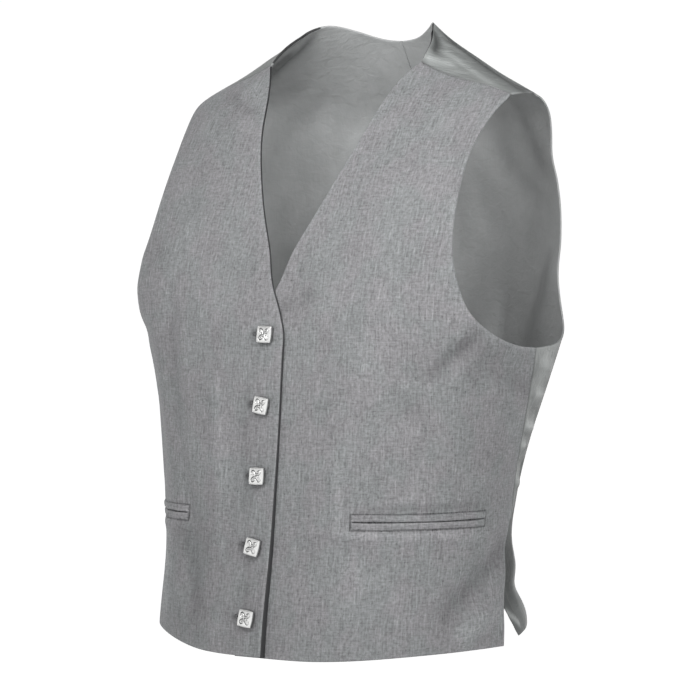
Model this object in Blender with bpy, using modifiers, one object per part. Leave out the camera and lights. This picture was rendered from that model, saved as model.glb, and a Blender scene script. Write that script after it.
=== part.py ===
"""Kilt waistcoat: wool fronts, satin back, five square metal buttons.

It is modelled filled out, as it stands on a body, with nothing inside it.
Millimetres in the tables, metres in the scene.

Frame: +Z up, the fronts face -Y, the wearer's left is +X.  The origin is the
point midway between the two neck points, on the shoulder ridge.

Every point of the cloth is given by two numbers on a general torso: an angle
round it (0 at the centre front, 90 at the wearer's left side and on the
shoulder ridge, 180 at the centre back) and a height z.
"""
import bpy
import bmesh
import numpy as np
from math import radians, degrees, pi, cos, sin, atan2
from mathutils import Matrix, Vector

# ---------------------------------------------------------------- sizes, mm
WOOL_WALL = 2.2          # wool front with its interfacing
SATIN_WALL = 1.6         # satin back
SEAM_GAP = 0.3           # between two pieces that are sewn together
LAP = 17.0               # each front runs this far past the centre line
LAP_LIFT = 1.45          # the right front is lifted, the left one sunk by this
LAP_FADE = 46.0          # width over which the lift fades out
VENT_TOP = -445.0        # side seam ends here, the vent opens below
VENT_TUCK = 2.9          # the back goes under the front at the vent by this

BUTTON_SIDE = 16.2       # square buttons
BUTTON_THICK = 3.4
BUTTON_STAND = 1.6       # back of the button above the cloth
BUTTON_ANGLE = -0.8      # the row lies 2 mm to the wearer's right
BUTTON_TOP_Z = -287.5
BUTTON_PITCH = 63.6
SHANK_RADIUS = 1.5
HOLE_RADIUS = 1.9

JET_HEIGHT = 6.5         # each of the two jets of a pocket
JET_THICK = 1.1
JET_LIFT = 0.45
POCKET_Z = -452.2        # slit between the jets
POCKET_IN = 37.0         # angle of the pocket's inner end
POCKET_OUT = 83.6        # angle of its outer end

# ------------------------------------------------- torso sections, one a row
#  z     half   front  back   centre front  back
#        width  depth  depth  y      power  power
TORSO = [
    (0,     64,    42,    40,     0,  2.0,  2.0),   # neck points
    (-18,   85,    46,    55,     0,  2.1,  2.0),
    (-35,  112,    52,    66,     0,  2.2,  2.1),
    (-52,  141,    61,    76,     0,  2.4,  2.2),
    (-70,  177,    72,    85,     0,  2.5,  2.3),   # shoulder points
    (-95,  194,    86,    96,    -2,  2.8,  2.3),
    (-120, 198,    93,   106,    -9,  3.1,  2.3),
    (-170, 208,   109,   119,   -16,  3.4,  2.3),   # chest
    (-220, 210,   122,   125,   -22,  3.4,  2.3),
    (-265, 205,   132,   125,   -24,  3.1,  2.4),
    (-310, 196,   137,   123,   -25,  2.7,  2.5),   # under the armholes
    (-370, 181,   135,   123,   -32,  2.6,  2.3),
    (-430, 170,   134,   123,   -39,  2.6,  2.1),
    (-490, 165,   137,   125,   -43,  2.5,  2.1),   # waist
    (-540, 167,   144,   131,   -44,  2.5,  2.3),
    (-585, 172,   150,   138,   -43,  2.4,  2.6),   # below the hem
]
# places where an edge stands off the torso, as empty cloth does
#  side, angle, z, reach in angle, reach in z, how far out
FLARES = [
    (-1,  61.5, -246,  9.0, 33, 5.5),    # right armhole, front edge
    (+1, 108.5, -284,  7.0, 24, 4.0),    # left armhole, back corner
    (-1, 108.5, -284,  7.0, 24, 3.0),
    (+1, 108.0, -553,  8.5, 19, 5.6),    # back's corner at the left vent
    (+1, 115.0, -520, 10.0, 12, -3.4),   # and the hollow above it
    (-1, 106.5, -560,  7.5, 24, 4.5),
]

# ----------------------------------- edges of the cut pieces, angle and z
# neckline of a front, from the break of the lap up to the shoulder seam
#  x from the centre line, z
NECK_FRONT = [
    (-17.0, -296.0), (-16.2, -285.0), (-13.4, -275.5), (-8.0, -262.0),
    (0.0, -246.5), (12.3, -213.5), (22.3, -191.5), (32.2, -170.0),
    (43.0, -143.5), (53.3, -116.5), (61.2, -90.5), (67.6, -69.5),
    (74.8, -53.5), (83.6, -39.6),
]
# shoulder seam, neck end to armhole end: angle, z
SHOULDER_SEAM = [
    (64.2, -39.6), (68.7, -49.3), (73.4, -56.6), (78.1, -62.0), (81.6, -70.2),
]
# back neckline, shoulder seam over the ridge to the centre back: angle, z
NECK_BACK = [
    (64.2, -39.6), (69.2, -30.4), (74.4, -23.0), (80.8, -15.2), (88.0, -7.9),
    (96.0, -3.0), (105.0, -0.9), (120.0, -2.6), (140.0, -8.0), (160.0, -13.4),
    (180.0, -15.5),
]
# armhole in front, side seam top up to the shoulder seam: angle, z
ARMHOLE_FRONT = [
    (90.2, -299.0), (82.5, -296.8), (75.5, -290.5), (69.0, -279.0),
    (64.6, -264.5), (61.8, -244.0), (60.4, -222.0), (60.2, -200.0),
    (61.6, -169.5), (64.7, -137.8), (67.6, -115.0), (71.0, -96.5),
    (76.2, -80.0), (81.6, -70.2),
]
# armhole at the back, side seam top up to the shoulder seam: angle, z
ARMHOLE_BACK = [
    (90.2, -299.0), (98.0, -298.0), (104.5, -293.5), (108.5, -285.5),
    (111.4, -271.0), (113.3, -249.0), (114.1, -221.0), (113.8, -190.0),
    (112.8, -160.0), (111.4, -131.0), (110.0, -106.0), (108.2, -86.0),
    (105.6, -73.5), (101.0, -67.8), (95.0, -67.2), (88.0, -68.2), (81.6, -70.2),
]
# side seam, vent top up to the armhole: angle, z
SIDE_SEAM = [
    (101.5, -445.0), (99.6, -427.0), (96.4, -383.0), (93.4, -347.0),
    (91.2, -316.0), (90.2, -299.0),
]
# vent edge of a front, hem up to the vent top
VENT_FRONT = [
    (94.0, -570.0), (95.4, -552.0), (96.4, -533.0), (97.2, -510.0),
    (98.4, -490.0), (100.0, -468.0), (101.5, -445.0),
]
# vent edge of the back, hem up to the vent top
VENT_BACK = [
    (104.6, -564.0), (102.7, -558.0), (101.7, -553.0), (100.6, -548.0),
    (99.4, -542.5), (98.2, -537.5), (96.9, -529.0), (96.3, -518.0),
    (96.5, -506.0), (97.9, -490.0), (100.7, -469.0), (101.5, -445.0),
]
# hem: angle, z on the wearer's left, z on the wearer's right
HEM = [
    (-8.0, -576.0, -575.5), (10.0, -576.2, -575.0), (21.0, -576.4, -573.8),
    (32.0, -575.4, -569.4), (42.0, -573.6, -564.2), (52.0, -571.6, -560.2),
    (66.0, -569.8, -558.0), (80.0, -569.4, -558.5), (94.0, -570.0, -561.0),
]
HEM_BACK = [
    (104.6, -564.0, -559.5), (110.0, -560.0, -556.5), (115.0, -556.4, -553.5),
    (122.0, -551.8, -550.8), (135.0, -548.6, -548.4), (157.0, -548.4, -548.2),
    (180.0, -549.0, -549.0),
]

# grid of each piece: cells across, cells up to the break, cells above it
FRONT_ACROSS, FRONT_LOW, FRONT_HIGH = 14, 11, 14
BACK_ACROSS, BACK_LOW, BACK_MID, BACK_HIGH = 12, 11, 13, 7
VENT_CELLS = 5           # of the lower cells, those along the vent

# --------------------------------------------------------------- materials
#  name, colour, roughness, metallic
FINISHES = {
    "wool": ((0.262, 0.270, 0.276), 0.92, 0.0),
    "satin": ((0.330, 0.340, 0.335), 0.42, 0.0),
    "silver": ((0.720, 0.720, 0.710), 0.28, 1.0),
}


# ------------------------------------------------------------ torso surface
def spline(xs, ys):
    """Natural cubic spline through a table's column."""
    xs = np.asarray(xs, float)
    ys = np.asarray(ys, float)
    order = np.argsort(xs)
    xs, ys = xs[order], ys[order]
    n, h = len(xs), np.diff(xs)
    m = np.zeros((n, n))
    r = np.zeros(n)
    m[0, 0] = m[-1, -1] = 1.0
    for i in range(1, n - 1):
        m[i, i - 1], m[i, i], m[i, i + 1] = h[i - 1], 2 * (h[i - 1] + h[i]), h[i]
        r[i] = 6 * ((ys[i + 1] - ys[i]) / h[i] - (ys[i] - ys[i - 1]) / h[i - 1])
    k = np.linalg.solve(m, r)

    def value(x):
        x = np.clip(np.asarray(x, float), xs[0], xs[-1])
        i = np.clip(np.searchsorted(xs, x, side="right") - 1, 0, n - 2)
        a, b = (xs[i + 1] - x) / h[i], (x - xs[i]) / h[i]
        return (a * ys[i] + b * ys[i + 1]
                + ((a ** 3 - a) * k[i] + (b ** 3 - b) * k[i + 1]) * h[i] ** 2 / 6)
    return value


HEIGHTS = [row[0] for row in TORSO]
HALF, FRONT, BACK, MIDDLE, POWER_F, POWER_B = [
    spline(HEIGHTS, [row[c] for row in TORSO]) for c in range(1, 7)]


def torso(angle, z):
    """Point of the torso at an angle (degrees) and a height, in mm."""
    a = np.radians(np.asarray(angle, float))
    z = np.asarray(z, float)
    s, c = np.sin(a), np.cos(a)
    depth = np.where(c >= 0, FRONT(z), BACK(z))
    power = np.where(c >= 0, POWER_F(z), POWER_B(z))
    r = ((np.abs(s) / HALF(z)) ** power + (np.abs(c) / depth) ** power) ** (-1 / power)
    return np.stack([r * s, MIDDLE(z) - r * c, z + 0 * a], -1)


def outward(angle, z):
    """Unit normal of the torso, pointing out."""
    e = 0.05
    around = torso(np.asarray(angle) + e, z) - torso(np.asarray(angle) - e, z)
    zz = np.minimum(np.asarray(z, float), -2 * e)
    up = torso(angle, zz + e) - torso(angle, zz - e)
    n = np.cross(around, up)
    return n / np.linalg.norm(n, axis=-1, keepdims=True)


def angle_of_x(x, z):
    """Angle of the front point that lies x from the centre line."""
    x = np.asarray(x, float)
    y = FRONT(z) * np.maximum(1 - (np.abs(x) / HALF(z)) ** POWER_F(z), 0) ** (1 / POWER_F(z))
    return np.degrees(np.arctan2(x, y))


def smooth(t):
    t = np.clip(t, 0.0, 1.0)
    return t * t * (3 - 2 * t)


# -------------------------------------------------------- edges and patches
def along(table, cells):
    """Even steps along a smooth curve through the rows (angle, z)."""
    p = np.asarray(table, float)
    step = np.hypot(np.diff(p[:, 0]) * 2.6, np.diff(p[:, 1]))
    t = np.concatenate([[0], np.cumsum(step)])
    fa, fz = spline(t, p[:, 0]), spline(t, p[:, 1])
    fine = np.linspace(0, t[-1], 400)
    q = np.stack([fa(fine), fz(fine)], -1)
    d = np.concatenate([[0], np.cumsum(np.hypot(np.diff(q[:, 0]) * 2.6, np.diff(q[:, 1])))])
    want = np.linspace(0, d[-1], cells + 1)
    return np.stack([np.interp(want, d, q[:, 0]), np.interp(want, d, q[:, 1])], -1)


def chain(*parts):
    """Joins edge pieces that share their end rows."""
    out = [parts[0]]
    for p in parts[1:]:
        out.append(p[1:])
    return np.concatenate(out)


def patch(bottom, right, top, left, rounds=0):
    """Grid of (angle, z) inside four edges, evened out."""
    nu, nv = len(bottom) - 1, len(left) - 1
    u = np.linspace(0, 1, nu + 1)[None, :, None]
    v = np.linspace(0, 1, nv + 1)[:, None, None]
    g = ((1 - v) * bottom[None] + v * top[None] + (1 - u) * left[:, None] + u * right[:, None]
         - (1 - u) * (1 - v) * bottom[0] - u * (1 - v) * bottom[-1]
         - (1 - u) * v * top[0] - u * v * top[-1])
    for _ in range(rounds):
        g[1:-1, 1:-1] = (g[:-2, 1:-1] + g[2:, 1:-1] + g[1:-1, :-2] + g[1:-1, 2:]) / 4
    return g


def hem_curve(side, table, cells):
    column = 1 if side > 0 else 2
    return along([(row[0], row[column]) for row in table], cells)


def join_z(edge, z_bottom):
    """Moves the foot of an upright edge to the hem's height there."""
    e = np.array(edge, float)
    z0 = e[0, 1]
    top = e[-1, 1]
    e[:, 1] = top + (e[:, 1] - top) * (z_bottom - top) / (z0 - top)
    return e


def front_grid(side):
    """(angle, z) grid of a front; side +1 is the wearer's left.

    Angles are the piece's own: positive runs away from the lap, and a point's
    angle on the torso is side * angle."""
    hem = hem_curve(side, HEM, 200)
    z_lap = float(np.interp(angle_of_x(-LAP, -576.0), hem[:, 0], hem[:, 1]))
    z_vent = float(hem[-1, 1])
    lap_edge = [(float(angle_of_x(-LAP, z)), float(z))
                for z in np.linspace(z_lap, NECK_FRONT[0][1], 8)]
    neck = [(float(angle_of_x(x, z)), z) for x, z in NECK_FRONT[:-1]] + [SHOULDER_SEAM[0]]
    left = chain(along(lap_edge, FRONT_LOW), along(neck, FRONT_HIGH))
    vent = join_z(VENT_FRONT, z_vent)
    right = chain(along(vent, VENT_CELLS), along(SIDE_SEAM, FRONT_LOW - VENT_CELLS),
                  along(ARMHOLE_FRONT, FRONT_HIGH))
    bottom_rows = [(left[0, 0], z_lap)] + [(a, z) for a, z in hem[::20] if a > left[0, 0] + 4]
    bottom_rows[-1] = (right[0, 0], right[0, 1])
    bottom = along(bottom_rows, FRONT_ACROSS)
    top = along(SHOULDER_SEAM, FRONT_ACROSS)
    return patch(bottom, right, top, left)


def back_grid(side):
    """(angle, z) grid of a back half, centre back to side."""
    hem = hem_curve(side, HEM_BACK, 60)
    vent = join_z(VENT_BACK, float(hem[0, 1]))
    nape = NECK_BACK[-1]
    left = chain(along([(180.0, float(hem[-1, 1])), (180.0, -300.0), (180.0, nape[1])],
                       BACK_LOW + BACK_MID),
                 along(NECK_BACK[::-1], BACK_HIGH))
    right = chain(along(vent, VENT_CELLS), along(SIDE_SEAM, BACK_LOW - VENT_CELLS),
                  along(ARMHOLE_BACK, BACK_MID + BACK_HIGH))
    bottom = along(hem[::-1][::6], BACK_ACROSS)
    bottom[-1] = right[0]
    top = along(SHOULDER_SEAM, BACK_ACROSS)
    return patch(bottom, right, top, left)


# ------------------------------------------------------------ cloth offsets
def lap_shift(side, angle, z):
    """Out or in movement of a front near the lap."""
    x = torso(angle, z)[..., 0]
    near = 1 - smooth((x - LAP - 4) / LAP_FADE)
    low = smooth((-205 - np.asarray(z)) / 40)
    return (-1 if side > 0 else 1) * LAP_LIFT * near * low


def vent_shift(angle, z):
    """Inward tuck of the back beside the vent."""
    near = 1 - smooth((np.asarray(angle) - 100.0) / 16.0)
    low = smooth((VENT_TOP + 3 - np.asarray(z)) / 26.0)
    return -VENT_TUCK * near * low


def flare(side, angle, z):
    """How far the cloth of one side stands off the torso."""
    out = 0.0 * np.asarray(angle) * np.asarray(z)
    for at, a0, z0, ra, rz, far in FLARES:
        if at == side:
            out = out + far * np.exp(-((angle - a0) / ra) ** 2 - ((z - z0) / rz) ** 2)
    return out


def cloth(angle, z, side, shift):
    """Points in mm of a piece's outer face."""
    shift = shift + flare(side, angle, z)
    p = torso(angle, z) + outward(angle, z) * np.asarray(shift)[..., None]
    p[..., 0] *= side
    return p


def pull_in(grid, gap, edges):
    """Draws the named edges of a point grid back by gap, inside the sheet."""
    g = grid.copy()
    pairs = {"bottom": (g[0], g[1]), "top": (g[-1], g[-2]),
             "left": (g[:, 0], g[:, 1]), "right": (g[:, -1], g[:, -2])}
    for name, rows in edges.items():
        edge, inner = pairs[name]
        d = inner - edge
        edge[rows] += (d / np.linalg.norm(d, axis=-1, keepdims=True) * gap)[rows]
    return g


def stitch_line(g, edges, width=3.0):
    """Adds a row or column a few mm inside each sewn edge of an angle grid."""
    metric = np.array([2.6, 1.0])
    for name in edges:
        h = {"left": g.swapaxes(0, 1), "right": g.swapaxes(0, 1)[::-1],
             "bottom": g, "top": g[::-1]}[name]
        run = np.gradient(h[0] * metric, axis=0)
        square = np.stack([-run[:, 1], run[:, 0]], -1)
        square /= np.linalg.norm(square, axis=-1, keepdims=True)
        inside = np.sign(np.sum(square * (h[1] - h[0]) * metric, axis=-1, keepdims=True))
        ends = (h[1] - h[0]) * metric
        ends /= np.linalg.norm(ends, axis=-1, keepdims=True)
        way = square * inside
        way[0], way[-1] = ends[0], ends[-1]      # a corner stays on its edge
        h = np.concatenate([h[:1], (h[0] + way * width / metric)[None], h[1:]])
        g = {"left": h.swapaxes(0, 1), "right": h[::-1].swapaxes(0, 1),
             "bottom": h, "top": h[::-1]}[name]
    return g


# --------------------------------------------------------------- scene help
def clear_scene():
    for ob in list(bpy.data.objects):
        bpy.data.objects.remove(ob, do_unlink=True)


def finish(name):
    colour, rough, metal = FINISHES[name]

    def make(node):
        mat = bpy.data.materials.new(node + "_" + name)
        mat.use_nodes = True
        b = mat.node_tree.nodes["Principled BSDF"]
        b.inputs["Base Color"].default_value = (*colour, 1.0)
        b.inputs["Roughness"].default_value = rough
        b.inputs["Metallic"].default_value = metal
        return mat
    return make


def add_object(name, mesh, material, collection):
    ob = bpy.data.objects.new(name, mesh)
    collection.objects.link(ob)
    mesh.materials.append(finish(material)(name))
    return ob


def sheet_mesh(name, grid, flip):
    """Open quad sheet from a grid of points in mm."""
    rows, cols = grid.shape[:2]
    bm = bmesh.new()
    v = [[bm.verts.new(grid[i, j] * 0.001) for j in range(cols)] for i in range(rows)]
    for i in range(rows - 1):
        for j in range(cols - 1):
            ring = (v[i][j], v[i][j + 1], v[i + 1][j + 1], v[i + 1][j])
            bm.faces.new(ring[::-1] if flip else ring)
    bmesh.ops.triangulate(bm, faces=bm.faces, quad_method="SHORT_EDGE")
    mesh = bpy.data.meshes.new(name)
    bm.to_mesh(mesh)
    bm.free()
    mesh.shade_smooth()
    return mesh


def thicken(ob, wall, offset=-1.0):
    m = ob.modifiers.new("cloth thickness", "SOLIDIFY")
    m.thickness = wall * 0.001
    m.offset = offset
    return m


# ------------------------------------------------------------------- pieces
def build_front(name, side, collection):
    g = stitch_line(front_grid(side), ("right", "top"))
    angle, z = g[..., 0], g[..., 1]
    pts = cloth(angle, z, side, lap_shift(side, angle, z))
    seam = slice(VENT_CELLS, FRONT_LOW + 1)
    pts = pull_in(pts, SEAM_GAP / 2, {"top": slice(None), "right": seam})
    ob = add_object(name, sheet_mesh(name, pts, side < 0), "wool", collection)
    thicken(ob, WOOL_WALL)
    return ob


def build_back(name, side, collection):
    g = stitch_line(back_grid(side), ("left", "right", "top"))
    angle, z = g[..., 0], g[..., 1]
    pts = cloth(angle, z, side, vent_shift(angle, z))
    pts[:, 0][:BACK_LOW + BACK_MID + 1, 0] = side * SEAM_GAP / 2
    seam = slice(VENT_CELLS, BACK_LOW + 1)
    pts = pull_in(pts, SEAM_GAP / 2, {"top": slice(None), "right": seam})
    ob = add_object(name, sheet_mesh(name, pts, side > 0), "satin", collection)
    thicken(ob, SATIN_WALL)
    return ob


def build_jet(name, side, low, high, collection):
    """A pocket's jet: a strip of the front's own points, moved out."""
    cells = 13
    a = np.linspace(POCKET_IN, POCKET_OUT, cells + 1)[None, :]
    z = np.array([low, (low + high) / 2, high])[:, None] + 0 * a
    a = a + 0 * z
    lift = JET_LIFT + np.array([0.0, 0.35, 0.0])[:, None]
    pts = cloth(a, z, side, lift + lap_shift(side, a, z))
    ob = add_object(name, sheet_mesh(name, pts, side < 0), "wool", collection)
    thicken(ob, JET_THICK, offset=1.0)
    return ob


def button_place(index):
    """Matrix of a button: +Z out of the cloth, +Y up the front."""
    z = BUTTON_TOP_Z - index * BUTTON_PITCH
    p = torso(BUTTON_ANGLE, z) + outward(BUTTON_ANGLE, z) * LAP_LIFT
    n = Vector(outward(BUTTON_ANGLE, z))
    y = n.cross(Vector((1.0, 0.0, 0.0))).normalized()
    x = y.cross(n)
    m = Matrix((x, y, n)).transposed().to_4x4()
    m.translation = Vector(p) * 0.001
    turn = Matrix.Rotation(radians((-1.5, -9.0, 0.5, -11.0, -7.0)[index]), 4, "Z")
    return m @ turn


def build_button(name, index, collection):
    """Square cushion-topped button with a round shank through the cloth."""
    bm = bmesh.new()
    half, t = BUTTON_SIDE / 2 * 0.001, BUTTON_THICK * 0.001
    base = BUTTON_STAND * 0.001
    bmesh.ops.create_cube(bm, size=1.0, matrix=Matrix.Translation((0, 0, base + t / 2))
                          @ Matrix.Diagonal((2 * half, 2 * half, t, 1.0)))
    for v in bm.verts:
        if v.co.z > base + t / 2:
            v.co.x *= 0.86
            v.co.y *= 0.86
    body = bpy.data.meshes.new(name)
    bm.to_mesh(body)
    bm.free()
    ob = add_object(name, body, "silver", collection)
    bev = ob.modifiers.new("rounded edges", "BEVEL")
    bev.width = 0.0009
    bev.segments = 2
    shank = bpy.data.meshes.new(name + "_shank")
    bm = bmesh.new()
    reach = (WOOL_WALL + 0.25) * 0.001
    length = base + reach + t * 0.5
    bmesh.ops.create_cone(bm, cap_ends=True, segments=12, radius1=SHANK_RADIUS * 0.001,
                          radius2=SHANK_RADIUS * 0.001, depth=length,
                          matrix=Matrix.Translation((0, 0, length / 2 - reach)))
    bm.to_mesh(shank)
    bm.free()
    tool = bpy.data.objects.new(name + "_shank", shank)
    CUTTERS.objects.link(tool)
    tool.matrix_world = button_place(index)
    tool.hide_render = True
    tool.display_type = "WIRE"
    union = ob.modifiers.new("shank", "BOOLEAN")
    union.operation = "UNION"
    union.object = tool
    ob.matrix_world = button_place(index)
    return ob


def cut_buttonholes(front):
    """Round eyes in the right front that the shanks pass through."""
    for i in range(5):
        mesh = bpy.data.meshes.new("eye_%d" % (i + 1))
        bm = bmesh.new()
        bmesh.ops.create_cone(bm, cap_ends=True, segments=12, radius1=HOLE_RADIUS * 0.001,
                              radius2=HOLE_RADIUS * 0.001, depth=0.008)
        bm.to_mesh(mesh)
        bm.free()
        tool = bpy.data.objects.new("eye_%d" % (i + 1), mesh)
        CUTTERS.objects.link(tool)
        tool.matrix_world = button_place(i)
        tool.hide_render = True
        tool.display_type = "WIRE"
        cut = front.modifiers.new("eye %d" % (i + 1), "BOOLEAN")
        cut.operation = "DIFFERENCE"
        cut.object = tool


# --------------------------------------------------------------------- main
clear_scene()
COAT = bpy.data.collections.new("kilt_waistcoat")
CUTTERS = bpy.data.collections.new("cutters")
bpy.context.scene.collection.children.link(COAT)
bpy.context.scene.collection.children.link(CUTTERS)

right_front = build_front("front_right", -1, COAT)
cut_buttonholes(right_front)
build_front("front_left", 1, COAT)
build_back("back_left", 1, COAT)
build_back("back_right", -1, COAT)

for word, side in (("left", 1), ("right", -1)):
    build_jet("pocket_%s_upper_jet" % word, side,
              POCKET_Z + 0.3, POCKET_Z + 0.3 + JET_HEIGHT, COAT)
    build_jet("pocket_%s_lower_jet" % word, side,
              POCKET_Z - 0.3 - JET_HEIGHT, POCKET_Z - 0.3, COAT)

for i in range(5):
    build_button("button_%d" % (i + 1), i, COAT)
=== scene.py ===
from math import atan, cos, pi, radians, sin

import bmesh
import bpy
import numpy as np
from mathutils import Matrix, Vector


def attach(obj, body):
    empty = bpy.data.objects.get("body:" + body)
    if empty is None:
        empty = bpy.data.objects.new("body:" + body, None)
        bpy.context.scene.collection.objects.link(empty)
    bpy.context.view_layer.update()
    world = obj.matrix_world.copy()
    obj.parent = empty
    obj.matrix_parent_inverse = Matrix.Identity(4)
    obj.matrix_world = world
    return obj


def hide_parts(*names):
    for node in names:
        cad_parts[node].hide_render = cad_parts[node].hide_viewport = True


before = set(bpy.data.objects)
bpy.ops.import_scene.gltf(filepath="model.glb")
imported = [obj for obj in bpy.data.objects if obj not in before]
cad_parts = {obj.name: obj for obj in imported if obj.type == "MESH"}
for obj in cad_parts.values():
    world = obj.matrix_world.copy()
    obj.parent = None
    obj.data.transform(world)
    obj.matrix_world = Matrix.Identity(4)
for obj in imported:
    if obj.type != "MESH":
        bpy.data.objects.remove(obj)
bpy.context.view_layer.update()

# ---------------------------------------------------------------- sizes, mm
WOOL_WALL = 2.2
SATIN_WALL = 1.6
SEAM_GAP = 0.3
LAP = 17.0
LAP_LIFT = 1.45
LAP_FADE = 46.0
VENT_TOP = -445.0
VENT_TUCK = 2.9
BUTTON_SIDE = 16.2
BUTTON_THICK = 3.4
BUTTON_STAND = 1.6
BUTTON_ANGLE = -0.8
BUTTON_TOP_Z = -287.5
BUTTON_PITCH = 63.6
SHANK_RADIUS = 1.5
HOLE_DIPS = (1.4, 1.8, 1.3, 2.1, 1.2)
JET_HEIGHT = 6.5
JET_LIFT = 0.45
POCKET_Z = -452.2
POCKET_IN = 37.0
POCKET_OUT = 83.6

# torso sections: z, half width, front depth, back depth, centre y, powers
TORSO = [
    (0,     64,    42,    40,     0,  2.0,  2.0),
    (-18,   85,    46,    55,     0,  2.1,  2.0),
    (-35,  112,    52,    66,     0,  2.2,  2.1),
    (-52,  141,    61,    76,     0,  2.4,  2.2),
    (-70,  177,    72,    85,     0,  2.5,  2.3),
    (-95,  194,    86,    96,    -2,  2.8,  2.3),
    (-120, 198,    93,   106,    -9,  3.1,  2.3),
    (-170, 208,   109,   119,   -16,  3.4,  2.3),
    (-220, 210,   122,   125,   -22,  3.4,  2.3),
    (-265, 205,   132,   125,   -24,  3.1,  2.4),
    (-310, 196,   137,   123,   -25,  2.7,  2.5),
    (-370, 181,   135,   123,   -32,  2.6,  2.3),
    (-430, 170,   134,   123,   -39,  2.6,  2.1),
    (-490, 165,   137,   125,   -43,  2.5,  2.1),
    (-540, 167,   144,   131,   -44,  2.5,  2.3),
    (-585, 172,   150,   138,   -43,  2.4,  2.6),
]
# side, angle, z, reach in angle, reach in z, how far out
FLARES = [
    (-1,  61.5, -246,  9.0, 33, 5.5),
    (+1, 108.5, -284,  7.0, 24, 4.0),
    (-1, 108.5, -284,  7.0, 24, 3.0),
    (+1, 108.0, -553,  8.5, 19, 5.6),
    (+1, 115.0, -520, 10.0, 12, -3.4),
    (-1, 106.5, -560,  7.5, 24, 4.5),
]
# neckline of a front: x from the centre line, z
NECK_FRONT = [
    (-17.0, -296.0), (-16.2, -285.0), (-13.4, -275.5), (-8.0, -262.0),
    (0.0, -246.5), (12.3, -213.5), (22.3, -191.5), (32.2, -170.0),
    (43.0, -143.5), (53.3, -116.5), (61.2, -90.5), (67.6, -69.5),
    (74.8, -53.5), (83.6, -39.6),
]
# edges of the cut pieces: angle, z
SHOULDER_SEAM = [
    (64.2, -39.6), (68.7, -49.3), (73.4, -56.6), (78.1, -62.0), (81.6, -70.2),
]
NECK_BACK = [
    (64.2, -39.6), (69.2, -30.4), (74.4, -23.0), (80.8, -15.2), (88.0, -7.9),
    (96.0, -3.0), (105.0, -0.9), (120.0, -2.6), (140.0, -8.0), (160.0, -13.4),
    (180.0, -15.5),
]
ARMHOLE_FRONT = [
    (90.2, -299.0), (82.5, -296.8), (75.5, -290.5), (69.0, -279.0),
    (64.6, -264.5), (61.8, -244.0), (60.4, -222.0), (60.2, -200.0),
    (61.6, -169.5), (64.7, -137.8), (67.6, -115.0), (71.0, -96.5),
    (76.2, -80.0), (81.6, -70.2),
]
ARMHOLE_BACK = [
    (90.2, -299.0), (98.0, -298.0), (104.5, -293.5), (108.5, -285.5),
    (111.4, -271.0), (113.3, -249.0), (114.1, -221.0), (113.8, -190.0),
    (112.8, -160.0), (111.4, -131.0), (110.0, -106.0), (108.2, -86.0),
    (105.6, -73.5), (101.0, -67.8), (95.0, -67.2), (88.0, -68.2), (81.6, -70.2),
]
SIDE_SEAM = [
    (101.5, -445.0), (99.6, -427.0), (96.4, -383.0), (93.4, -347.0),
    (91.2, -316.0), (90.2, -299.0),
]
VENT_FRONT = [
    (94.0, -570.0), (95.4, -552.0), (96.4, -533.0), (97.2, -510.0),
    (98.4, -490.0), (100.0, -468.0), (101.5, -445.0),
]
VENT_BACK = [
    (104.6, -564.0), (102.7, -558.0), (101.7, -553.0), (100.6, -548.0),
    (99.4, -542.5), (98.2, -537.5), (96.9, -529.0), (96.3, -518.0),
    (96.5, -506.0), (97.9, -490.0), (100.7, -469.0), (101.5, -445.0),
]
# hem: angle, z on the wearer's left, z on the wearer's right
HEM = [
    (-8.0, -576.0, -575.5), (10.0, -576.2, -575.0), (21.0, -576.4, -573.8),
    (32.0, -575.4, -569.4), (42.0, -573.6, -564.2), (52.0, -571.6, -560.2),
    (66.0, -569.8, -558.0), (80.0, -569.4, -558.5), (94.0, -570.0, -561.0),
]
HEM_BACK = [
    (104.6, -564.0, -559.5), (110.0, -560.0, -556.5), (115.0, -556.4, -553.5),
    (122.0, -551.8, -550.8), (135.0, -548.6, -548.4), (157.0, -548.4, -548.2),
    (180.0, -549.0, -549.0),
]

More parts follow.
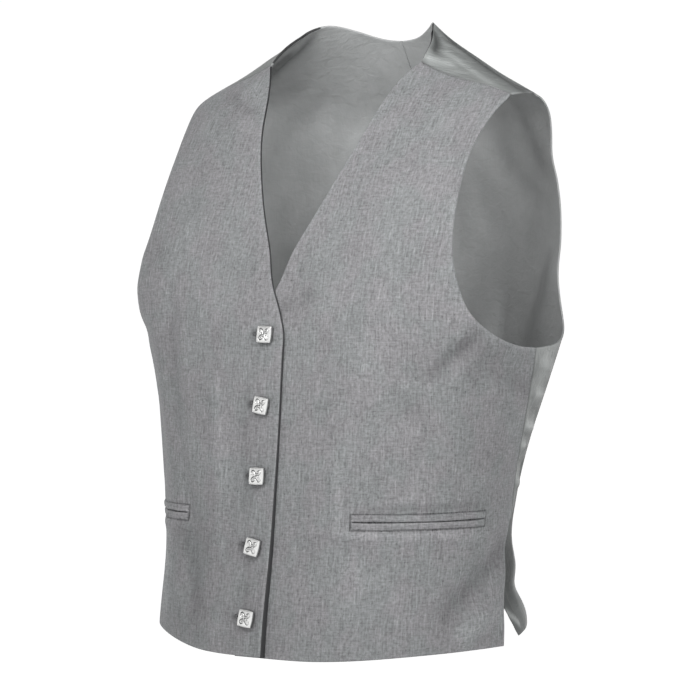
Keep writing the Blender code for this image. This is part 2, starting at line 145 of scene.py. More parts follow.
# Creases, one a row:
#  from angle, z   to angle, z   half width   out (+) or in (-)   bend   shoulder
# bend bows the line sideways; shoulder is a softer roll beside the crease, on
# its left as it runs, as a share of its depth and of the other sign.
CREASES = {
    "front_left": [
        (56.0, -300, 97.0, -326, 11, -3.0,   4, 0.45),   # drag under the arm
        (60.5, -226, 68.0, -278, 10, -1.4,  -4, 0.30),   # beside the armhole
        (69.5, -276, 55.0, -330,  8, -3.6,   2, 0.50),   # the drag turning down
        (64.0, -309, 98.0, -343, 10, -2.0,   3, 0.35),
        (8.0, -292, 56.0, -290,  15, -1.2,  -5, 0.60),   # break under the chest
        (1.0, -232, 17.0, -272,   9, -1.1,   0, 0.00),   # foot of the V
        (2.5, -262, 25.0, -248,   7, -2.0,   0, 0.30),
        (27.5, -318, 31.5, -470, 15,  2.2,   3, 0.30),
        (30.4, -392, 33.0, -468,  4,  1.4,   0, 0.40),
        (46.0, -330, 62.0, -436, 14, -2.6,   5, 0.35),
        (41.0, -352, 61.0, -357, 11, -1.2,   0, 0.30),
        (72.0, -338, 76.0, -432, 11, -1.3,  -3, 0.40),
        (14.0, -352, 17.0, -520, 12, -1.3,   4, 0.20),
        (101.0, -466, 62.0, -541, 13, -5.0,  7, 0.55),   # drag from the vent
        (97.0, -523, 73.0, -556,   8,  2.4,  0, 0.30),
        (34.0, -479, 43.5, -515,   7,  1.2,  0, 0.30),
        (40.0, -504, 46.0, -586, 15, -1.2,  -3, 0.40),
        (58.0, -520, 62.0, -590, 12, -1.0,   2, 0.30),
        (12.0, -463, 88.0, -466,  5,  1.8,   0, 0.45),   # below the pocket
        (36.0, -442, 86.0, -441,  4, -1.1,   0, 0.30),   # above it
        (44.0, -98, 58.0, -190,  12, -1.2,   5, 0.30),
        (36.0, -150, 46.0, -236, 15,  1.1,  -6, 0.00),
        (68.0, -66, 60.0, -108,   7, -0.8,   0, 0.30),
    ],
    "front_right": [
        (45.5, -214, 42.5, -424, 11, -4.0,   3, 0.35),   # long drag beside the row
        (42.0, -394, 25.0, -562, 11, -4.2,  -3, 0.40),
        (24.5, -318, 20.5, -470, 10,  2.3,  -2, 0.20),
        (48.0, -160, 49.5, -244, 15,  1.3,   0, 0.00),
        (54.0, -128, 45.5, -190, 10, -1.4,   0, 0.30),
        (60.5, -237, 50.0, -207,  6, -1.2,   0, 0.30),
        (50.0, -430, 45.0, -560, 11,  3.3,   0, 0.00),
        (16.0, -538, 17.0, -577,  8,  1.0,   0, 0.00),
        (66.0, -60, 41.0, -84,    5, -2.2,   2, 0.60),   # under the shoulder seam
        (60.0, -76, 50.0, -112,   6, -0.9,   0, 0.30),
        (60.0, -214, 72.0, -292, 11, -2.4,  -4, 0.30),
        (55.0, -286, 96.0, -318, 12, -2.7,   7, 0.50),
        (10.0, -286, 44.0, -300, 13, -1.6,  -4, 0.60),
        (12.0, -340, 11.0, -540, 10, -1.2,   3, 0.20),
        (62.0, -340, 56.0, -444, 13, -2.0,  -6, 0.40),
        (76.0, -330, 80.0, -448, 12,  1.5,   4, 0.00),
        (100.0, -474, 66.0, -532, 13, -2.9,  6, 0.50),
        (12.0, -463, 88.0, -466,  5,  1.2,   0, 0.40),
    ],
    "back_left": [
        (93.0, -342, 106.0, -345,  4.2,  2.0,  1,  0.50),  # puckers of the side seam
        (94.0, -357, 105.5, -360,  3.2, -1.6,  1,  0.30),
        (94.0, -369, 107.0, -375,  4.5,  2.0, -1,  0.50),
        (95.0, -388, 105.0, -392,  3.6,  1.7,  1,  0.60),
        (97.0, -404, 107.0, -410,  4.2, -1.8,  1,  0.40),
        (97.5, -421, 107.5, -426,  4.6,  1.8,  0,  0.50),
        (91.0, -316, 106.0, -321,  5.0,  1.6,  1,  0.50),
        (106.0, -286, 118.0, -356, 6.0, -1.6,  3,  0.50),  # corner under the arm
        (103.0, -548, 97.0, -510,  4.0,  1.6,  0, -0.50),  # flap at the vent
        (108.0, -566, 101.0, -500, 4.5, -1.6,  1,  0.40),
        (116.0, -574, 110.0, -470, 8.0, 3.5, -2, -0.30),
        (89.5, -6.0, 68.5, -36.5,  3.0, -1.9,  1, -0.80),  # tuck along the neck
        (84.5, -14, 83.5, -71,     5.0,  2.3, 13,  0.35),  # roll over the shoulder
        (95.5, -8, 91.0, -72,      9.5, -3.2,  5,  0.00),  # flat behind the roll
        (70.5, -47, 80.0, -50,     3.2,  0.9,  0,  0.40),
        (98.0, -20, 103.0, -80,    9.0, -2.8, -3,  0.00),
        (120.0, -40, 112.0, -150, 13.0, -3.8,  6,  0.40),
        (150.0, -70, 122.0, -196, 18.0, 4.2,  9,  0.00),
        (168.0, -60, 156.0, -230, 16.0, -2.9,  5,  0.40),
        (116.0, -200, 132.0, -318, 15.0, -4.8, -8, 0.40),
        (140.0, -232, 150.0, -410, 14.0, 3.8,  6,  0.30),
        (160.0, -280, 164.0, -470, 11.0, -4.2, 4,  0.45),
        (126.0, -330, 131.0, -500, 12.0, -4.5, -7, 0.45),
        (112.0, -396, 148.0, -428, 10.0, -3.7,  7, 0.55),
        (116.0, -448, 158.0, -452, 9.0, -3.0, -5, 0.55),
        (146.0, -470, 150.0, -580, 13.0, -3.5,  4, 0.40),
        (171.0, -430, 168.0, -575, 11.0, 2.6,  0, 0.30),
    ],
    "back_right": [
        (93.0, -336, 111.0, -344,  4.4,  1.4, -1, -0.40),
        (95.0, -356, 112.0, -360,  3.4, -1.3,  1,  0.40),
        (96.0, -376, 109.0, -388,  4.0,  1.6,  1, -0.40),
        (98.0, -400, 114.0, -404,  4.6,  1.4, -1, -0.40),
        (99.0, -421, 110.0, -431,  3.8, -1.2,  1,  0.40),
        (103.0, -288, 121.0, -350, 8.0, -2.1, -3,  0.50),
        (109.0, -560, 102.0, -502, 5.0, -1.6, -1,  0.40),
        (118.0, -570, 112.0, -478, 8.5, 3.2,  2, -0.30),
        (89.0, -7.0, 67.5, -36.0,  3.0, -1.5,  1, -0.70),
        (83.5, -15, 83.0, -71,     5.0,  1.9, 11,  0.35),
        (95.0, -9, 91.0, -72,      9.0, -2.4,  4,  0.00),
        (97.0, -14, 103.0, -76,    9.0,  1.6,  3,  0.40),
        (124.0, -46, 110.0, -160, 12.0, -3.4, -6,  0.40),
        (146.0, -64, 126.0, -210, 17.0, 3.7, -8,  0.00),
        (170.0, -70, 158.0, -250, 15.0, -2.6, -4,  0.40),
        (117.0, -190, 136.0, -304, 14.0, -4.3, 7,  0.40),
        (136.0, -250, 147.0, -420, 15.0, 4.2, -6,  0.30),
        (163.0, -300, 160.0, -486, 12.0, -3.8, -5, 0.45),
        (124.0, -316, 130.0, -476, 12.0, -4.2, 6,  0.45),
        (111.0, -408, 150.0, -434, 9.0, -4.0, -7, 0.55),
        (118.0, -456, 160.0, -444, 10.0, -2.7,  5, 0.55),
        (142.0, -480, 148.0, -584, 12.0, -3.2, -4, 0.40),
        (172.0, -440, 170.0, -570, 10.0, 2.2,  0, 0.30),
    ],
}
# Painted shade and painted highlights along folds, creases and buttonholes, one a row:
#  from angle, z   to angle, z   half width   darker (+) or lighter (-)   bend
PAINTED_SHADING = {
    "front_left": [
        (70.0, -278, 54.0, -330,   8,  0.22,  2),
        (61.0, -308, 99.0, -342,  10,  0.15,  0),
        (60.0, -268, 69.0, -250,   8, -0.11,  0),
        (2.0, -264, 22.0, -248,    8,  0.17,  0),
        (35.0, -441.5, 87.0, -440, 3,  0.13,  0),     # painted shade above the pocket
        (29.0, -464, 90.0, -467,   5, -0.25,  0),     # painted highlight below it
        (32.0, -392, 33.0, -464,   4, -0.15,  0),
        (102.0, -466, 60.0, -546, 11,  0.22,  5),
        (96.0, -536, 68.0, -560,   9, -0.26,  0),
        (35.0, -476, 42.0, -520,   9, -0.12,  0),
        (44.0, -352, 60.0, -357,  11,  0.05,  0),
        (67.0, -94, 62.0, -172,    7,  0.07,  0),
        (50.0, -96, 30.0, -196,   26,  0.035, 0),
        (52.0, -240, 34.0, -330,  14, -0.04,  0),
        (96.0, -350, 98.0, -530,  12,  0.07,  0),
    ],
    "front_right": [
        (46.0, -262, 44.0, -392,   9,  0.11,  0),
        (40.0, -452, 23.0, -556,   9,  0.16,  0),
        (50.0, -432, 45.0, -560,   7, -0.30,  0),
        (24.5, -318, 21.0, -410,   8, -0.08,  0),
        (21.0, -396, 16.5, -490,   8, -0.06,  0),
        (62.0, -57, 44.0, -74,     6, -0.17,  0),
        (66.0, -66, 42.0, -90,     4,  0.10,  0),
        (54.0, -128, 45.0, -192,  10,  0.07,  0),
        (48.0, -96, 34.0, -204,   26,  0.03,  0),
        (60.5, -240, 50.0, -207,   6,  0.06,  0),
        (18.0, -540, 12.0, -575,   8, -0.08,  0),
        (3.5, -476, 2.0, -545,     7,  0.10,  0),
        (29.0, -418, 27.0, -590,  34,  0.095, 0),
        (5.0, -290, 2.0, -585,    16,  0.035, 0),
        (10.0, -318, 4.5, -474,    7,  0.10,  0),
        (8.8, -285.5, 3.8, -287.5, 3.6, 0.34, 0),     # painted shade where the cloth is drawn in at each buttonhole
        (8.8, -350.0, 3.8, -351.5, 3.8, 0.40, 0),
        (8.8, -414.0, 3.8, -415.0, 3.4, 0.30, 0),
        (8.8, -476.5, 3.8, -478.5, 4.0, 0.44, 0),
        (8.8, -541.0, 3.8, -542.0, 3.2, 0.28, 0),
    ],
    "back_left": [
        (98.5, 0, 95.5, -78,     14.0,  0.95, 0),     # painted shade on the turned side of the shoulder roll
        (90.5, -15, 87.6, -76,    9.0,  1.05, 0),
        (89.5, -6, 71.0, -32,     4.5,  1.10, 1),     # painted shade down in the tuck
        (66.0, -35, 77.0, -44,    5.5, -0.80, 0),
        (78.0, -24, 79.5, -69,    5.0, -0.85, 3),
        (107.6, -270, 108.0, -486, 11.0, 0.64, 0),    # painted shade where the satin turns away towards the back
        (92.5, -299, 92.0, -330,  3.0,  0.40, 0),
        (98.0, -300, 103.0, -480, 16.0, 0.44, 0),
        (97.5, -298, 98.5, -346,  7.0, -0.42, 0),
        (95.5, -342, 102.5, -344, 4.2, -0.75, 0),
        (95.0, -369, 104.0, -372, 4.6, -0.95, 0),
        (95.0, -387.5, 101.0, -389, 3.6, -0.80, 0),
        (98.0, -420, 103.5, -422, 4.2, -0.80, 0),
        (96.5, -537, 106.5, -556, 3.0, -0.95, 0),     # painted highlight on the fold of the flap
        (110.5, -470, 113.0, -536, 4.5, -0.35, 0),
    ],
    "back_right": [
        (98.0, 0, 95.5, -76,     14.0,  0.75, 0),
        (92.5, -18, 90.5, -72,    7.0,  0.55, 0),
        (89.0, -7, 71.0, -31,     4.0,  0.60, 1),
        (82.5, -16, 81.0, -67,    5.0, -0.45, 7),
        (107.6, -272, 108.0, -484, 11.0, 0.50, 0),
        (98.0, -304, 103.0, -476, 16.0, 0.38, 0),
        (95.0, -372, 104.0, -375, 4.4, -0.60, 0),
        (96.0, -398, 103.0, -400, 4.0, -0.55, 0),
        (97.0, -538, 106.0, -552, 3.0, -0.70, 0),
    ],
}
MM_PER_DEGREE = 2.75

# cells of the fine grids, in the same shares as the solid model's
FINE_UP, FINE_ACROSS = 11, 9
FRONT_ACROSS, FRONT_LOW, FRONT_HIGH, FRONT_VENT = 14 * FINE_ACROSS, 11 * FINE_UP, 14 * FINE_UP, 5 * FINE_UP
BACK_ACROSS, BACK_LOW, BACK_MID, BACK_HIGH, BACK_VENT = (
    12 * FINE_ACROSS, 11 * 10, 13 * 10, 7 * 10, 5 * 10)


# ------------------------------------------------------------ torso surface
def spline(xs, ys):
    """Natural cubic spline through a table's column."""
    xs = np.asarray(xs, float)
    ys = np.asarray(ys, float)
    order = np.argsort(xs)
    xs, ys = xs[order], ys[order]
    n, h = len(xs), np.diff(xs)
    m = np.zeros((n, n))
    r = np.zeros(n)
    m[0, 0] = m[-1, -1] = 1.0
    for i in range(1, n - 1):
        m[i, i - 1], m[i, i], m[i, i + 1] = h[i - 1], 2 * (h[i - 1] + h[i]), h[i]
        r[i] = 6 * ((ys[i + 1] - ys[i]) / h[i] - (ys[i] - ys[i - 1]) / h[i - 1])
    k = np.linalg.solve(m, r)

    def value(x):
        x = np.clip(np.asarray(x, float), xs[0], xs[-1])
        i = np.clip(np.searchsorted(xs, x, side="right") - 1, 0, n - 2)
        a, b = (xs[i + 1] - x) / h[i], (x - xs[i]) / h[i]
        return (a * ys[i] + b * ys[i + 1]
                + ((a ** 3 - a) * k[i] + (b ** 3 - b) * k[i + 1]) * h[i] ** 2 / 6)
    return value


HEIGHTS = [row[0] for row in TORSO]
HALF, FRONT, BACK, MIDDLE, POWER_F, POWER_B = [
    spline(HEIGHTS, [row[c] for row in TORSO]) for c in range(1, 7)]


def torso(angle, z):
    a = np.radians(np.asarray(angle, float))
    z = np.asarray(z, float)
    s, c = np.sin(a), np.cos(a)
    depth = np.where(c >= 0, FRONT(z), BACK(z))
    power = np.where(c >= 0, POWER_F(z), POWER_B(z))
    r = ((np.abs(s) / HALF(z)) ** power + (np.abs(c) / depth) ** power) ** (-1 / power)
    return np.stack([r * s, MIDDLE(z) - r * c, z + 0 * a], -1)


def outward(angle, z):
    e = 0.05
    around = torso(np.asarray(angle) + e, z) - torso(np.asarray(angle) - e, z)
    zz = np.minimum(np.asarray(z, float), -2 * e)
    up = torso(angle, zz + e) - torso(angle, zz - e)
    n = np.cross(around, up)
    return n / np.linalg.norm(n, axis=-1, keepdims=True)


def angle_of_x(x, z):
    x = np.asarray(x, float)
    y = FRONT(z) * np.maximum(1 - (np.abs(x) / HALF(z)) ** POWER_F(z), 0) ** (1 / POWER_F(z))
    return np.degrees(np.arctan2(x, y))


def smooth(t):
    t = np.clip(t, 0.0, 1.0)
    return t * t * (3 - 2 * t)


# -------------------------------------------------------- edges and patches
def along(table, cells):
    p = np.asarray(table, float)
    step = np.hypot(np.diff(p[:, 0]) * 2.6, np.diff(p[:, 1]))
    t = np.concatenate([[0], np.cumsum(step)])
    fa, fz = spline(t, p[:, 0]), spline(t, p[:, 1])
    fine = np.linspace(0, t[-1], 1600)
    q = np.stack([fa(fine), fz(fine)], -1)
    d = np.concatenate([[0], np.cumsum(np.hypot(np.diff(q[:, 0]) * 2.6, np.diff(q[:, 1])))])
    want = np.linspace(0, d[-1], cells + 1)
    return np.stack([np.interp(want, d, q[:, 0]), np.interp(want, d, q[:, 1])], -1)


def chain(*parts):
    out = [parts[0]]
    for p in parts[1:]:
        out.append(p[1:])
    return np.concatenate(out)


def patch(bottom, right, top, left):
    nu, nv = len(bottom) - 1, len(left) - 1
    u = np.linspace(0, 1, nu + 1)[None, :, None]
    v = np.linspace(0, 1, nv + 1)[:, None, None]
    return ((1 - v) * bottom[None] + v * top[None] + (1 - u) * left[:, None] + u * right[:, None]
            - (1 - u) * (1 - v) * bottom[0] - u * (1 - v) * bottom[-1]
            - (1 - u) * v * top[0] - u * v * top[-1])


def settle(grid, corner, below=46, above=70, inward=66, rounds=420):
    """Even out the cells round the corner under the arm, so that none folds over."""
    r0, r1, c0 = corner - below, corner + above, grid.shape[1] - inward
    w = grid[r0:r1, c0:] * (2.75, 1.0)
    for _ in range(rounds):
        du = (w[1:-1, 2:] - w[1:-1, :-2]) / 2
        dv = (w[2:, 1:-1] - w[:-2, 1:-1]) / 2
        a = (dv ** 2).sum(-1)[..., None] + 1e-6
        c = (du ** 2).sum(-1)[..., None] + 1e-6
        b = (du * dv).sum(-1)[..., None]
        twist = (w[2:, 2:] - w[2:, :-2] - w[:-2, 2:] + w[:-2, :-2]) / 4
        new = (a * (w[1:-1, 2:] + w[1:-1, :-2]) + c * (w[2:, 1:-1] + w[:-2, 1:-1])
               - 2 * b * twist) / (2 * (a + c))
        w[1:-1, 1:-1] += 0.9 * (new - w[1:-1, 1:-1])
    grid[r0:r1, c0:] = w / (2.75, 1.0)
    return grid


def hem_curve(side, table, cells):
    column = 1 if side > 0 else 2
    return along([(row[0], row[column]) for row in table], cells)


def join_z(edge, z_bottom):
    e = np.array(edge, float)
    z0 = e[0, 1]
    top = e[-1, 1]
    e[:, 1] = top + (e[:, 1] - top) * (z_bottom - top) / (z0 - top)
    return e


def front_grid(side):
    hem = hem_curve(side, HEM, 200)
    z_lap = float(np.interp(angle_of_x(-LAP, -576.0), hem[:, 0], hem[:, 1]))
    z_vent = float(hem[-1, 1])
    lap_edge = [(float(angle_of_x(-LAP, z)), float(z))
                for z in np.linspace(z_lap, NECK_FRONT[0][1], 8)]
    neck = [(float(angle_of_x(x, z)), z) for x, z in NECK_FRONT[:-1]] + [SHOULDER_SEAM[0]]
    left = chain(along(lap_edge, FRONT_LOW), along(neck, FRONT_HIGH))
    vent = join_z(VENT_FRONT, z_vent)
    right = chain(along(vent, FRONT_VENT), along(SIDE_SEAM, FRONT_LOW - FRONT_VENT),
                  along(ARMHOLE_FRONT, FRONT_HIGH))
    bottom_rows = [(left[0, 0], z_lap)] + [(a, z) for a, z in hem[::20] if a > left[0, 0] + 4]
    bottom_rows[-1] = (right[0, 0], right[0, 1])
    bottom = along(bottom_rows, FRONT_ACROSS)
    top = along(SHOULDER_SEAM, FRONT_ACROSS)
    return settle(patch(bottom, right, top, left), FRONT_LOW)


def back_grid(side):
    hem = hem_curve(side, HEM_BACK, 60)
    vent = join_z(VENT_BACK, float(hem[0, 1]))
    nape = NECK_BACK[-1]
    left = chain(along([(180.0, float(hem[-1, 1])), (180.0, -300.0), (180.0, nape[1])],
                       BACK_LOW + BACK_MID),
                 along(NECK_BACK[::-1], BACK_HIGH))
    right = chain(along(vent, BACK_VENT), along(SIDE_SEAM, BACK_LOW - BACK_VENT),
                  along(ARMHOLE_BACK, BACK_MID + BACK_HIGH))
    bottom = along(hem[::-1][::6], BACK_ACROSS)
    bottom[-1] = right[0]
    top = along(SHOULDER_SEAM, BACK_ACROSS)
    return settle(patch(bottom, right, top, left), BACK_LOW)


# ------------------------------------------------------------ cloth offsets
def lap_shift(side, angle, z):
    x = torso(angle, z)[..., 0]
    near = 1 - smooth((x - LAP - 4) / LAP_FADE)
    low = smooth((-205 - np.asarray(z)) / 40)
    return (-1 if side > 0 else 1) * LAP_LIFT * near * low


def vent_shift(angle, z):
    near = 1 - smooth((np.asarray(angle) - 100.0) / 16.0)
    low = smooth((VENT_TOP + 3 - np.asarray(z)) / 26.0)
    return -VENT_TUCK * near * low


def flare(side, angle, z):
    out = 0.0 * np.asarray(angle) * np.asarray(z)
    for at, a0, z0, ra, rz, far in FLARES:
        if at == side:
            out = out + far * np.exp(-((angle - a0) / ra) ** 2 - ((z - z0) / rz) ** 2)
    return out


def drape(name, angle, z):
    """Depth of a panel's creases, in mm, out of the cloth."""
    total = 0.0 * angle
    p = np.stack([angle * MM_PER_DEGREE, z + 0 * angle], -1)
    for a0, z0, a1, z1, width, depth, bend, roll in CREASES[name]:
        start = np.array([a0 * MM_PER_DEGREE, z0])
        run = np.array([a1 * MM_PER_DEGREE, z1]) - start
        length = np.hypot(*run)
        aside = np.array([-run[1], run[0]]) / length
        t = (p - start) @ run / length ** 2
        d = (p - start) @ aside - bend * 4 * t * (1 - t)
        fade = smooth(t / 0.32) * smooth((1 - t) / 0.32)
        wide = width * (0.75 + 0.5 * np.clip(t, 0, 1))
        shape = np.exp(-(d / wide) ** 2) - roll * np.exp(-((d - 1.7 * wide) / (1.1 * wide)) ** 2)
        total = total + depth * shape * fade
    return total


def painted_shading_at(name, angle, z):
    """Share of painted shade (+) and painted highlight (-) on a panel at its marks."""
    total = 0.0 * angle
    p = np.stack([angle * MM_PER_DEGREE, z + 0 * angle], -1)
    for a0, z0, a1, z1, width, share, bend in PAINTED_SHADING[name]:
        start = np.array([a0 * MM_PER_DEGREE, z0])
        run = np.array([a1 * MM_PER_DEGREE, z1]) - start
        length = np.hypot(*run)
        aside = np.array([-run[1], run[0]]) / length
        t = (p - start) @ run / length ** 2
        d = (p - start) @ aside - bend * 4 * t * (1 - t)
        total = total + share * np.exp(-(d / width) ** 2) * smooth(t / 0.2) * smooth((1 - t) / 0.2)
    return np.clip(total, -0.9, 1.5)


SEAM_CURVES = {name: along(table, 160) * (MM_PER_DEGREE, 1.0)
               for name, table in (("side", SIDE_SEAM), ("shoulder", SHOULDER_SEAM))}


def edge_distance(points, name, reach):
    """Distance in mm of grid points (angle, z) from a seam's curve, up to reach."""
    curve = SEAM_CURVES[name]
    p = (points * (MM_PER_DEGREE, 1.0)).reshape(-1, 2)
    best = np.full(len(p), reach ** 2)
    low, high = curve.min(0) - reach, curve.max(0) + reach
    near = np.nonzero(((p > low) & (p < high)).all(1))[0]
    if not len(near):
        return np.full(points.shape[:-1], reach)
    for part in np.array_split(near, max(1, len(near) // 4000)):
        d = ((p[part, None] - curve[None]) ** 2).sum(-1).min(1)
        best[part] = np.minimum(best[part], d)
    return np.sqrt(best).reshape(points.shape[:-1])


def lap_rise(z):
    """How far the free edge of the lap stands off the front under it, mm."""
    return (0.35 + 3.3 * smooth((-340 - z) / 240)) * smooth((-286 - z) / 26)


def front_surface(side, angle, z):
    """Outer face of a front, mm, with its creases."""
    name = "front_left" if side > 0 else "front_right"
    x = torso(angle, z)[..., 0]
    row = smooth((x - 14) / 26)                # the button row stays flat
    calm = row + (1 - row) * smooth((z + 262) / 30)
    points = np.stack([angle, z + 0 * angle], -1)
    seam = np.minimum(edge_distance(points, "side", 16.0),
                      edge_distance(points, "shoulder", 16.0))
    shift = lap_shift(side, angle, z) + drape(name, angle, z) * calm * smooth(seam / 11.0)
    if side < 0:
        # the free edge of the lap stands off the other front, more towards the hem
        shift = shift + lap_rise(z) * (1 - smooth((x + LAP) / 13))
        for i in range(5):                     # the cloth is drawn in at each buttonhole
            hole = BUTTON_TOP_Z - i * BUTTON_PITCH
            shift = shift - HOLE_DIPS[i] * np.exp(-((x - 13.0) / 4.6) ** 2 - ((z - hole) / 3.4) ** 2)
    shift = shift + flare(side, angle, z)
    p = torso(angle, z) + outward(angle, z) * shift[..., None]
    p[..., 0] *= side
    return p


def back_surface(side, angle, z):
    """Outer face of a back half, mm, with its creases."""
    name = "back_left" if side > 0 else "back_right"
    points = np.stack([angle, z + 0 * angle], -1)
    seam = np.minimum(edge_distance(points, "side", 12.0),
                      edge_distance(points, "shoulder", 12.0))
    fade = smooth(seam / 3.5) * smooth((180.0 - angle) * 2.2 / 14.0)
    shift = vent_shift(angle, z) + drape(name, angle, z) * fade + flare(side, angle, z)
    p = torso(angle, z) + outward(angle, z) * shift[..., None]
    p[..., 0] *= side
    return p


def normals_of(points, toward):
    """Unit normals of a grid of points, on the side that toward points to."""
    n = np.cross(np.gradient(points, axis=1), np.gradient(points, axis=0))
    n /= np.maximum(np.linalg.norm(n, axis=-1, keepdims=True), 1e-9)
    return n * np.sign((n * toward).sum(-1, keepdims=True))


# lengths along the cloth, so that the weave keeps its size: arc round the
# torso at each height, and arc up it at each angle
ARC_ANGLES = np.linspace(-12.0, 180.0, 385)
ARC_HEIGHTS = np.linspace(-585.0, 0.0, 235)


def arc_tables():
    a, z = np.meshgrid(ARC_ANGLES, ARC_HEIGHTS)
    p = torso(a, z)
    round_ = np.concatenate([np.zeros((len(z), 1)),
                             np.cumsum(np.linalg.norm(np.diff(p, axis=1), axis=-1), axis=1)], 1)
    zero = int(np.argmin(np.abs(ARC_ANGLES)))
    round_ -= round_[:, zero:zero + 1]
    up = np.concatenate([np.zeros((1, a.shape[1])),
                         np.cumsum(np.linalg.norm(np.diff(p, axis=0), axis=-1), axis=0)], 0)
    return round_, up


ARC_ROUND, ARC_UP = arc_tables()


def weave_uv(angle, z, back=False):
    """Cloth coordinates in mm: across from the centre front or back, and up."""
    ia = np.clip((angle - ARC_ANGLES[0]) / (ARC_ANGLES[1] - ARC_ANGLES[0]), 0, len(ARC_ANGLES) - 1.001)
    iz = np.clip((z - ARC_HEIGHTS[0]) / (ARC_HEIGHTS[1] - ARC_HEIGHTS[0]), 0, len(ARC_HEIGHTS) - 1.001)
    a0, z0 = ia.astype(int), iz.astype(int)
    fa, fz = ia - a0, iz - z0
    out = []
    for table in (ARC_ROUND, ARC_UP):
        out.append((table[z0, a0] * (1 - fa) + table[z0, a0 + 1] * fa) * (1 - fz)
                   + (table[z0 + 1, a0] * (1 - fa) + table[z0 + 1, a0 + 1] * fa) * fz)
    if back:
        out[0] = ARC_ROUND[z0, -1] * (1 - fz) + ARC_ROUND[z0 + 1, -1] * fz - out[0]
    return np.stack(out, -1)


# --------------------------------------------------------------- scene help
def link(ob):
    bpy.context.scene.collection.objects.link(ob)
    return ob


def make_mesh(name, verts, faces, materials, face_material=None, uv=None, floats=None):
    """Mesh object from arrays in mm, with its weave map and point values."""
    mesh = bpy.data.meshes.new(name)
    verts = np.asarray(verts, float)
    faces = np.asarray(faces, int)
    mesh.vertices.add(len(verts))
    mesh.vertices.foreach_set("co", (verts * 0.001).astype(np.float32).ravel())
    mesh.loops.add(faces.size)
    mesh.loops.foreach_set("vertex_index", faces.astype(np.int32).ravel())
    mesh.polygons.add(len(faces))
    mesh.polygons.foreach_set("loop_start", np.arange(0, faces.size, faces.shape[1], dtype=np.int32))
    mesh.polygons.foreach_set("loop_total", np.full(len(faces), faces.shape[1], np.int32))
    for m in materials:
        mesh.materials.append(m)
    if face_material is not None:
        mesh.polygons.foreach_set("material_index", np.asarray(face_material, np.int32))
    mesh.update(calc_edges=True)
    mesh.validate()
    if uv is not None:
        layer = mesh.uv_layers.new(name="weave")
        index = np.zeros(len(mesh.loops), np.int32)
        mesh.loops.foreach_get("vertex_index", index)
        layer.data.foreach_set("uv", np.asarray(uv, np.float32)[index].ravel())
    for key, values in (floats or {}).items():
        at = mesh.attributes.new(key, "FLOAT", "POINT")
        at.data.foreach_set("value", np.asarray(values, np.float32).ravel())
    mesh.shade_smooth()
    return link(bpy.data.objects.new(name, mesh))


def grid_faces(rows, cols, start=0, flip=False):
    i, j = np.meshgrid(np.arange(rows - 1), np.arange(cols - 1), indexing="ij")
    a = start + i * cols + j
    f = np.stack([a, a + 1, a + cols + 1, a + cols], -1).reshape(-1, 4)
    return f[:, ::-1] if flip else f


def border(rows, cols):
    """Indices round a grid's edge: foot, right, top, left."""
    k = np.arange(rows * cols).reshape(rows, cols)
    return np.concatenate([k[0, :], k[1:, -1], k[-1, -2::-1], k[-2:0:-1, 0]])


def nearest(points, targets):
    """For each point the index of the nearest target and its distance, mm."""
    index = np.zeros(len(points), int)
    far = np.zeros(len(points))
    square = (targets ** 2).sum(1)
    for part in np.array_split(np.arange(len(points)), 24):
        d = (points[part] ** 2).sum(1)[:, None] + square[None] - 2 * points[part] @ targets.T
        index[part] = d.argmin(1)
        far[part] = np.sqrt(np.maximum(d.min(1), 0.0))
    return index, far


RIM_STEPS = 8


def rim_profile(free, walls):
    """How far out and how deep each ring of an edge lies, mm, for each wall."""
    t = np.arange(RIM_STEPS + 1) / RIM_STEPS
    walls = np.asarray(walls, float)[:, None]
    if free:                                     # two rounded corners and a flat between
        c = np.minimum(walls / 2, 1.1)
        near = np.clip(t / 0.375, 0, 1) * pi / 2
        far = np.clip((1 - t) / 0.375, 0, 1) * pi / 2
        deep = np.where(t <= 0.375, c * (1 - np.cos(near)), np.where(
            t >= 0.625, walls - c * (1 - np.cos(far)), c + (walls - 2 * c) * (t - 0.375) / 0.25))
        return np.where(t < 0.5, c * np.sin(near), c * np.sin(far)), deep
    r = 0.55                                     # a sewn edge rolls in a little
    k = np.clip(t / 0.55, 0, 1) * pi / 2
    return (r * np.sin(k) + 0 * walls,
            np.where(t < 0.55, r * (1 - np.cos(k)), r + (walls - r) * (t - 0.55) / 0.45))


